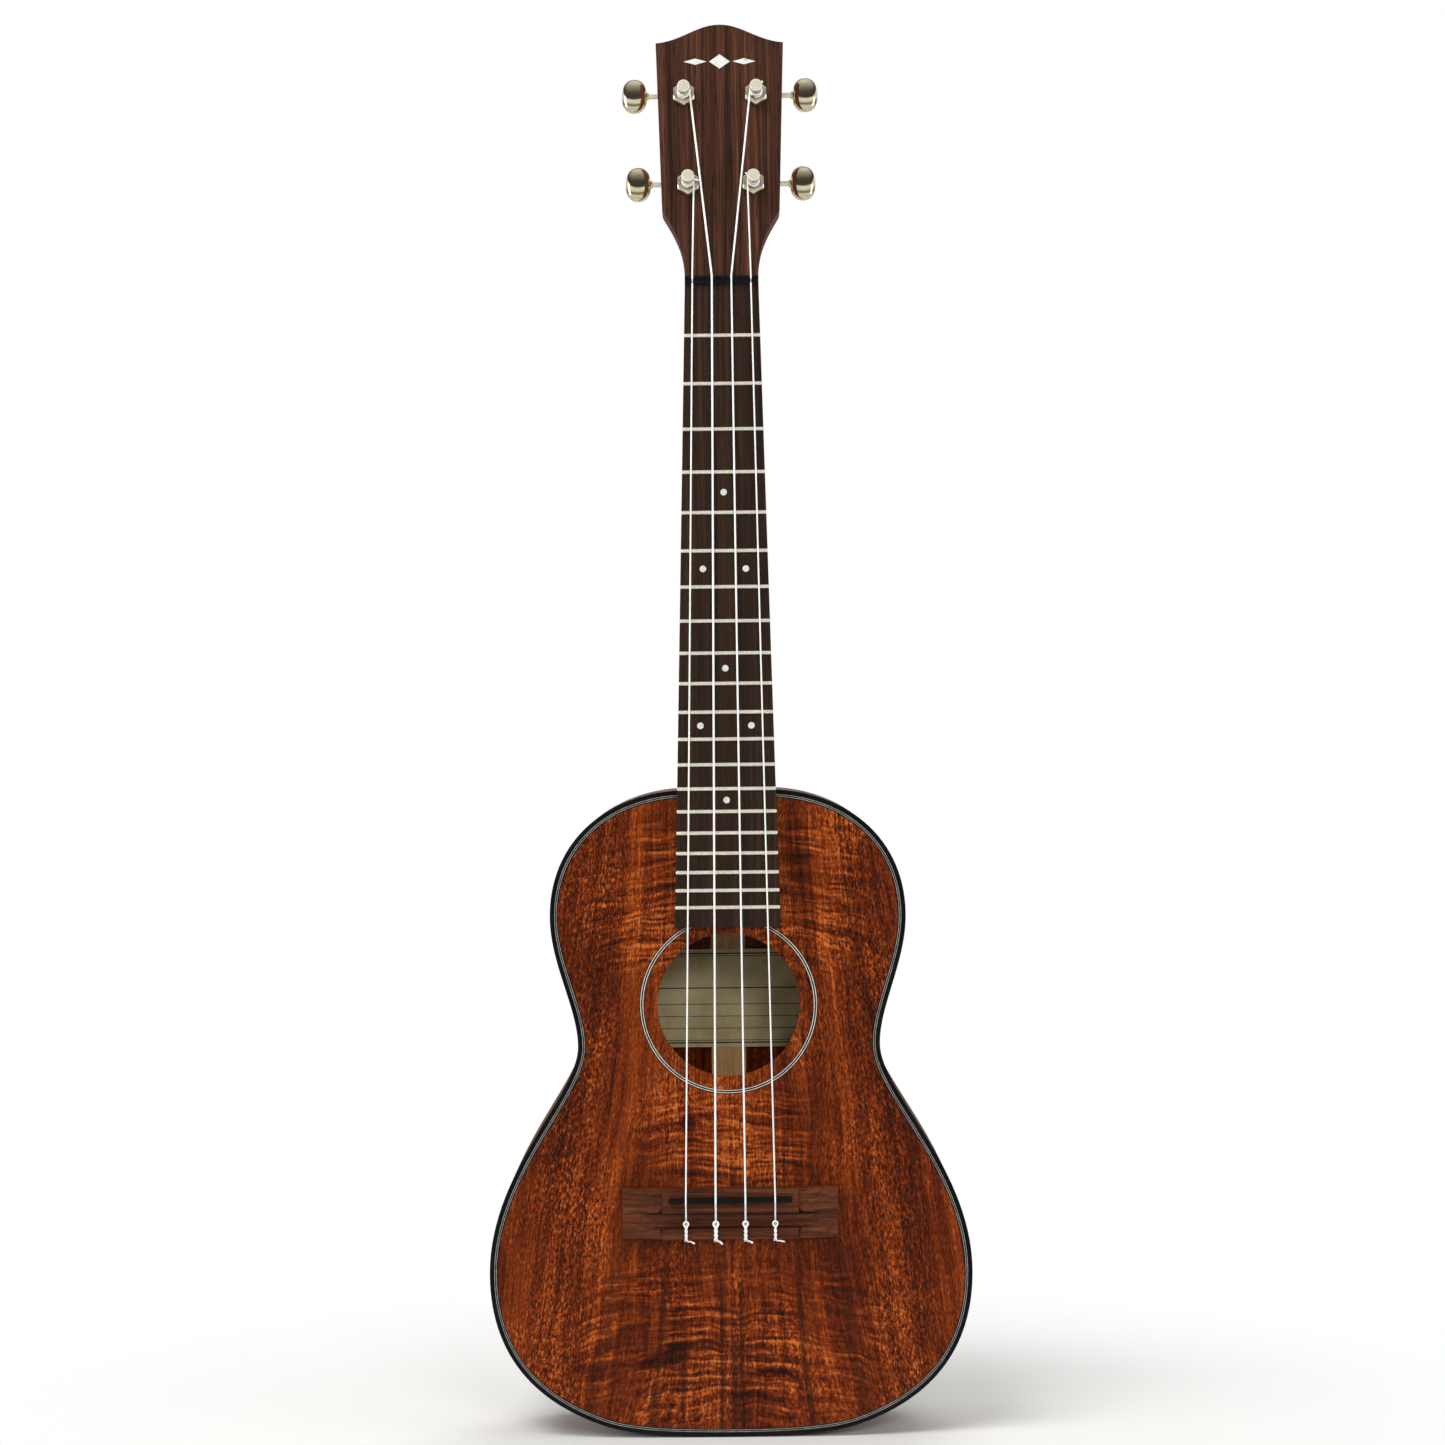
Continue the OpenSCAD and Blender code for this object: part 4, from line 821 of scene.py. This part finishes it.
def carved_bridge():
    def lines(low, high, count):
        """Even steps from low to high, closer where the rim rounds over."""
        close = np.array([0, 0.05, 0.15, 0.35])
        even = np.linspace(low + RIM_R, high - RIM_R, count)
        return np.concatenate([low + close, even, high - close[::-1]])

    grid_u, grid_v = np.meshgrid(lines(-BRIDGE_HALF, BRIDGE_HALF, 340), lines(0, BRIDGE_LEN, 110))
    heights = bridge_height(grid_u, grid_v)
    points = [spot(u, -h, BRIDGE_Z + v) for u, v, h in zip(grid_u.ravel(), grid_v.ravel(), heights.ravel())]
    rows, columns = grid_u.shape
    faces = grid_faces(rows, columns)
    index = np.arange(rows * columns).reshape(rows, columns)
    rim = np.concatenate([index[0], index[1:, -1], index[-1, -2::-1], index[-2:0:-1, 0]]).tolist()
    start = len(points)
    points += [Vector((points[k].x, FACE_Y * MM, points[k].z)) for k in rim]
    for k in range(len(rim)):
        k2 = (k + 1) % len(rim)
        faces.append((rim[k], rim[k2], start + k2, start + k))
    faces.append(tuple(start + k for k in range(len(rim))))
    add_piece("carved_bridge", (points, faces), [BRIDGE_WOOD], "bridge", sharp_from=50)


carved_bridge()


# ---- Strings ----
def spread_x(name, spread):
    """A string's place across, for the distance between the outer strings."""
    return spread * (STRINGS.index(name) / 3 - 0.5)


# How far each string's tail at the bridge goes to the side and down
KNOT_TAIL = dict(g=(2.9, 0.9), c=(2.0, 1.2), e=(2.2, 0.8), a=(3.2, 0.4))
# The post's waist and top, and the height where the string's first turn lies
WAIST_R = 2.3
POST_H = 12.2
WRAP_W = 3.45


def wrap_radius(name):
    return WAIST_R + STRING_D[name] / 2 + 0.08


def wrap_height(name, level):
    return WRAP_W + STRING_D[name] / 2 + level * (STRING_D[name] + 0.06)


def by_post(name):
    """Places points of a post's own frame, whose first axis points away from the head's middle."""
    post_x, post_s = post_place(name)
    away = copysign(1, post_x)
    return lambda x, y, w: head_spot(post_x + away * x, post_s + y, w)


def string_line(name):
    """From a turn round the post, over the nut and saddle, through the tie bar and back in a twist."""
    r = STRING_D[name] / 2
    post_x, post_s = post_place(name)
    nut_x, tie_x = spread_x(name, NUT_SPREAD), spread_x(name, BRIDGE_SPREAD)
    around, place = wrap_radius(name), by_post(name)
    gap = (abs(nut_x) - abs(post_x), -1 - post_s)
    leave = atan2(gap[1], gap[0]) - acos(around / hypot(*gap))
    turn = [leave - a for a in angles(270, -1, -5)]
    path = [place(around * cos(a), around * sin(a), wrap_height(name, 0)) for a in turn]
    start = path[-1]
    nut_back = spot(nut_x, -NUT_TOP - r, NUT_Z + NUT_T)
    nut_front = spot(nut_x, -NUT_TOP - r, NUT_Z)
    saddle = spot(tie_x, -SADDLE_TOP - r, SADDLE_Z)
    path += [start.lerp(nut_back, 0.5), nut_back.lerp(start, 0.015), nut_back, nut_front]
    path += [nut_front.lerp(saddle, t) for t in (0.01, 0.25, 0.5, 0.75, 0.99)]
    tie_front, tie_rear = BRIDGE_Z + TIE_END, BRIDGE_Z
    dive = [(tie_x, -SADDLE_TOP - r, SADDLE_Z), (tie_x, -SADDLE_TOP - r, SADDLE_Z - 1.3),
            (tie_x, -9.9, SADDLE_Z - 3.4), (tie_x, -5.5, tie_front + 1.9), (tie_x, -4.6, tie_front + 0.5),
            (tie_x, -4.4, (tie_front + tie_rear) / 2), (tie_x, -4.5, tie_rear - 0.2),
            (tie_x - 0.3, -5.4, tie_rear - r - 0.35), (tie_x - 0.5, -7.0, tie_rear - r - 0.25)]
    # Over the tie bar the string twists with its own return, which comes back from a loop round the string
    rest_y = -TIE_H - 2 * r - 0.1
    start_z, end_z = tie_rear + 0.2, tie_front + 1.0
    twist = []
    for t in (k / 26 for k in range(27)):
        a = pi * (1 + 3 * t)
        twist.append((tie_x + r * cos(a), rest_y + r * sin(a) * 0.95, start_z + (end_z - start_z) * t))
    loop_r = 1.0 + r * 0.3
    loop = [(tie_x + loop_r * cos(a), rest_y + 0.5, end_z + 1.25 + loop_r * sin(a))
            for a in angles(-35, 216, 25)]
    back = [(2 * tie_x - x, 2 * rest_y - y, z) for x, y, z in reversed(twist)]
    bend_x, out, drop = tie_x + 0.9, *KNOT_TAIL[name]
    tail = [(tie_x + 0.5, rest_y + 0.6, tie_rear - 0.4), (bend_x, rest_y + 1.6, tie_rear - 0.8),
            (bend_x + 0.4 * out, rest_y + 1.7, tie_rear - 0.8 - 0.1 * drop),
            (bend_x + 0.75 * out, rest_y + 1.3, tie_rear - 0.8 - 0.6 * drop),
            (bend_x + out, rest_y + 1.4, tie_rear - 0.8 - drop)]
    knot = smooth_path([spot(*p) for p in dive + twist + loop + back + tail], 4)
    add_piece(f"nylon_string_{name}", tube(path + knot, r * MM), [NYLON], f"string_{name}",
              sharp_from=60)


# The tail's height over the face, and each tail's direction and length
TAIL_W = 6.7
TAIL_ANGLE = dict(g=180, c=100, e=45, a=135)
TAIL_REACH = dict(g=5.0, c=3.8, e=4.8, a=4.6)


def string_winding(name):
    """The part that turns with the post: one turn that ends through the post's hole in a short tail."""
    place, around, start_w = by_post(name), wrap_radius(name), wrap_height(name, 1)
    angle, reach = radians(TAIL_ANGLE[name]), TAIL_REACH[name]
    path = []
    for t in (k / 60 for k in range(60)):
        a = angle + pi - 2 * pi * t
        path.append((around * cos(a), around * sin(a), start_w + (TAIL_W - start_w) * t))
    along = Vector((cos(angle), sin(angle), 0))
    beside = Vector((-along.y, along.x, 0))
    level, rise = Vector((0, 0, TAIL_W)), Vector((0, 0, 0.1))
    out = [-along * around * 0.93 + beside * 0.25, -along * around * 0.6, Vector(), along * 2.4,
           along * (reach - 1.2) + beside * 0.15 + rise, along * reach + beside * 0.5 + rise * 3]
    path += [level + p for p in out]
    shape = tube(smooth_path([place(*p) for p in path], 2), STRING_D[name] / 2 * MM)
    add_piece(f"string_winding_{name}", shape, [NYLON], f"string_coil_{name}",
              f"post_{name}", sharp_from=60)


def turned_post(name):
    """A capped post with a hollowed waist."""
    foot_r, shank_r, cap_r, waist_w, rounding = 2.0, 3.0, 3.1, 3.3, 0.45
    profile = [(foot_r, WORM_W - 2.5), (foot_r, WORM_W + 1.3), (shank_r, WORM_W + 1.3), (shank_r, 3.1),
               (shank_r - 0.1, waist_w)]
    for a in angles(15, 91, 15):
        profile.append((WAIST_R + 0.6 * (1 - sin(a)), waist_w + 0.3 * (1 - cos(a))))
    profile += [(WAIST_R, POST_H - 2.9), (WAIST_R + 0.12, POST_H - 2.5), (WAIST_R + 0.45, POST_H - 2.2),
                (shank_r, POST_H - 2.1), (cap_r, POST_H - 1.95)]
    for a in angles(0, 91, 15):
        profile.append((cap_r - rounding * (1 - cos(a)), POST_H - rounding * (1 - sin(a))))
    profile += [(foot_r, POST_H + 0.02), (0.8, POST_H + 0.03)]
    add_piece(f"turned_post_{name}", lathe(profile, by_post(name)), [POST_METAL], f"string_post_{name}",
              f"post_{name}")


def hex_radius(a, flat_half):
    """Distance from the middle to the side of a hexagon whose corners point up and down."""
    return flat_half / cos((a - pi / 6) % (pi / 3) - pi / 6)


WASHER_T = 0.6


def chamfered_nut(place):
    """A hexagon nut whose corners are turned down, on the barrel that lines the head's hole."""
    flat_half, bore, barrel, foot, low, high = 5.0, 3.05, 4.0, 0.2 - HEAD_T, WASHER_T, 3.2

    def section(a):
        side = hex_radius(a, flat_half)
        drop = (side - flat_half) * 0.65
        return [(bore, high - 0.5), (3.4, high), (4.75, high), (4.95, high - 0.06),
                (side, high - 0.16 - drop), (side, low + drop * 0.6), (4.6, low), (barrel, low),
                (barrel, foot), (bore, foot)]

    return ring_of(place, section, 96)


def rounded_washer(place):
    section = [(4.02, 0.0), (4.75, 0.0), (4.8, 0.1), (4.8, 0.4), (4.7, 0.56), (4.55, WASHER_T),
               (4.02, WASHER_T)]
    return ring_of(place, lambda a: section, 64)


def power(value, exponent):
    """A power that keeps the sign; below 1 it makes a circle's sine and cosine squarer."""
    return copysign(abs(value) ** exponent, value)


def domed_lid(place):
    """A gearbox lid with rounded corners, a rolled edge and a low dome."""
    half_x, half_y, mid_y, back_w = 6.9, 9.05, 2.15, -22.0
    sections = [(0.97, 0.0), (1.0, 0.1), (1.0, 0.45), (0.985, 0.68), (0.95, 0.84), (0.88, 0.93), (0.7, 1.02),
                (0.45, 1.12), (0.2, 1.17)]
    columns = 72
    points = [place(half_x * size * power(cos(a), 0.28), mid_y + half_y * size * power(sin(a), 0.28),
                    back_w - rise) for size, rise in sections for a in full_turn(columns)]
    return points, capped_faces(len(sections), columns)


def plated_button(name):
    """A rounded oval with nearly flat faces and a stepped collar where the shaft enters."""
    place = by_post(name)
    half_w, half_l, half_t, fullness = 6.1, 8.6, 3.7, 0.86
    rows, columns = 40, 72
    points = [place(BUTTON_X, WORM_GAP, WORM_W - half_t)]
    for i in range(1, rows):
        v = pi * i / rows - pi / 2
        reach = power(cos(v), 0.78)
        for u in full_turn(columns):
            points.append(place(BUTTON_X + half_w * reach * power(cos(u), fullness),
                                WORM_GAP + half_l * reach * power(sin(u), fullness),
                                WORM_W + half_t * power(sin(v), fullness)))
    points.append(place(BUTTON_X, WORM_GAP, WORM_W + half_t))
    last = len(points) - 1
    faces = [(a + 1, b + 1, c + 1, d + 1) for a, b, c, d in grid_faces(rows - 1, columns, loop_columns=True)]
    faces += [(0, 1 + (j + 1) % columns, 1 + j) for j in range(columns)]
    faces += [(last, last - columns + j, last - columns + (j + 1) % columns) for j in range(columns)]
    profile = [(1.32, -6.9), (1.7, -6.9), (1.9, -6.75), (1.9, -6.2), (1.75, -6.05), (2.1, -5.6), (2.4, -4.8),
               (1.32, -4.6)]
    collar = lathe(profile, lambda x, y, w: place(BUTTON_X + w, WORM_GAP + x, WORM_W + y), 40)
    add_piece(f"plated_button_{name}", joined_parts([(points, faces), collar]), [TUNER_METAL],
              f"tuner_button_{name}", f"button_{name}")


for string_name in STRINGS:
    string_line(string_name)
    string_winding(string_name)
    turned_post(string_name)
    plated_button(string_name)
for piece_name, make, metal, node_name, sharp in (
        ("domed_covers", domed_lid, TUNER_METAL, "tuner_covers", 35),
        ("hex_bushings", chamfered_nut, NUT_METAL, "tuner_bushings", 28),
        ("rounded_washers", rounded_washer, NUT_METAL, "tuner_washers", 35)):
    four = joined_parts([make(by_post(name)) for name in STRINGS])
    add_piece(piece_name, four, [metal], node_name, sharp_from=sharp)

# ---- Every other CAD node gets its material; a few show slightly worn edges ----
FINISHES = {
    "soundboard": KOA_TOP, "back_plate": KOA_BACK, "bass_side": KOA_SIDE, "treble_side": KOA_SIDE,
    "top_lining": SPRUCE, "back_lining": SPRUCE, "neck_block": BLOCK_WOOD, "tail_block": BLOCK_WOOD,
    "tail_wedge": BLACK_TRIM, "face_braces": SPRUCE_X, "fan_braces": SPRUCE, "bridge_patch": BLOCK_WOOD,
    "back_braces": SPRUCE_X, "back_seam_strip": SPRUCE, "label": LABEL, "neck_stiffener": BAR_METAL,
    "neck_bolts": STEEL, "heel_cap": BLACK_TRIM, "head_veneer": HEAD_WOOD, "head_inlay": PEARL,
    "fretboard": BOARD_WOOD, "inlay_dots": PEARL, "nut": BLACK_BONE, "saddle": BLACK_BONE,
    "tuner_housings": TUNER_METAL, "tuner_screws": POST_METAL,
    **{f"worm_wheel_{name}": GEAR_BRASS for name in STRINGS},
    **{f"worm_shaft_{name}": POST_METAL for name in STRINGS},
}
EDGES = {"tuner_housings": 0.3, "saddle": 0.6, "nut": 0.25, "fretboard": 0.25, "head_veneer": 0.2}
for name, node in frame["nodes"].items():
    if node.hide_render:
        continue
    node.data.materials.clear()
    node.data.materials.append(FINISHES[name])
    shade_smooth(node.data, 32)
    if name in EDGES:
        merged = node.modifiers.new("merged_flats", "DECIMATE")
        merged.decimate_type = "DISSOLVE"
        merged.angle_limit = radians(0.5)
        bevel = node.modifiers.new("worn_edges", "BEVEL")
        bevel.width = EDGES[name] * MM
        bevel.segments = 3
        bevel.angle_limit = radians(40)

# ---- Camera, floor and light ----
# Metres and degrees, and the sensor in millimetres. The camera and the lights face the height MID_Z.
CAMERA_FAR = 1.6
CAMERA_X = -0.0016
MID_Z = 0.340
CAMERA_ROLL = -0.556
VIEW_WIDTH = 0.6854
SENSOR = 36.0
camera_data = bpy.data.cameras.new("front_view")
camera_data.sensor_width = SENSOR
camera_data.lens = SENSOR * CAMERA_FAR / VIEW_WIDTH
camera = new_object("front_view", camera_data)
camera_y = (FACE_Y - 6) * MM - CAMERA_FAR
camera.matrix_world = (Matrix.Translation((CAMERA_X, camera_y, MID_Z)) @ Matrix.Rotation(radians(90), 4, "X")
                       @ Matrix.Rotation(radians(CAMERA_ROLL), 4, "Z"))
scene.camera = camera


def fading_floor():
    """A pale floor that fades out with distance."""
    g = Graph("pale_floor")
    far = g.math("SQRT", g.x * g.x + g.y * g.y)
    solid = g.node("ShaderNodeBsdfPrincipled", {"Base Color": rgb(236, 236, 234), "Roughness": 0.7})
    clear = g.node("ShaderNodeBsdfTransparent")
    share = g.fit(far, 150, 430)
    mixed = g.node("ShaderNodeMixShader", {0: share, 1: solid.outputs[0], 2: clear.outputs[0]})
    g.node("ShaderNodeOutputMaterial", {0: mixed.outputs[0]})
    mesh = bpy.data.meshes.new("pale_floor")
    half, level = 0.8, -0.0004
    corners = [(x * half, y * half, level) for x, y in ((-1, -1), (1, -1), (1, 1), (-1, 1))]
    mesh.from_pydata(corners, [], [(0, 1, 2, 3)])
    mesh.materials.append(g.owner)
    new_object("pale_floor", mesh)


fading_floor()


def area_light(name, place, size, watts, mirrored=False):
    """A softbox. One that is not mirrored gives light and shadow but no reflection of itself."""
    data = bpy.data.lights.new(name, "AREA")
    data.shape = "RECTANGLE"
    data.size, data.size_y = size
    data.energy = watts
    light = new_object(name, data)
    light.location = place
    light.visible_glossy = mirrored
    light.rotation_euler = (Vector((0, 0, MID_Z)) - Vector(place)).to_track_quat("-Z", "Y").to_euler()


area_light("key_softbox", (-0.8, -1.1, 2.1), (1.2, 0.8), 30)
area_light("low_front_softbox", (0.5, -2.1, 1.05), (0.7, 0.5), 14)
area_light("left_softbox", (-2.0, -0.8, 0.8), (0.9, 1.6), 14, mirrored=True)
area_light("right_softbox", (2.0, -0.9, 0.6), (0.9, 1.6), 9, mirrored=True)
area_light("back_softbox", (0.4, 1.6, 1.3), (1.2, 1.0), 16)


def studio_world():
    """White behind the object. Light and reflections come from bright bands between dark ones."""
    world = bpy.data.worlds.new("studio")
    g = Graph(world, "Generated")
    height = g.z * (MM / 2) + 0.5  # From 0 straight down to 1 straight up
    stops = [(0.0, 0.6), (0.40, 0.72), (0.44, 0.34), (0.50, 0.16), (0.56, 0.34), (0.60, 0.75), (0.705, 0.9),
             (0.725, 0.03), (0.80, 0.06), (0.92, 0.4), (1.0, 0.8)]
    band = g.ramp(height, [(where, (value, value, value * 0.985, 1)) for where, value in stops])
    seen = g.node("ShaderNodeLightPath").outputs["Is Camera Ray"]
    glow = g.node("ShaderNodeBackground", {0: g.mix(seen, band, (1, 1, 1, 1))})
    g.node("ShaderNodeOutputWorld", {0: glow.outputs[0]})
    scene.world = world


studio_world()
scene.view_settings.view_transform = "Standard"
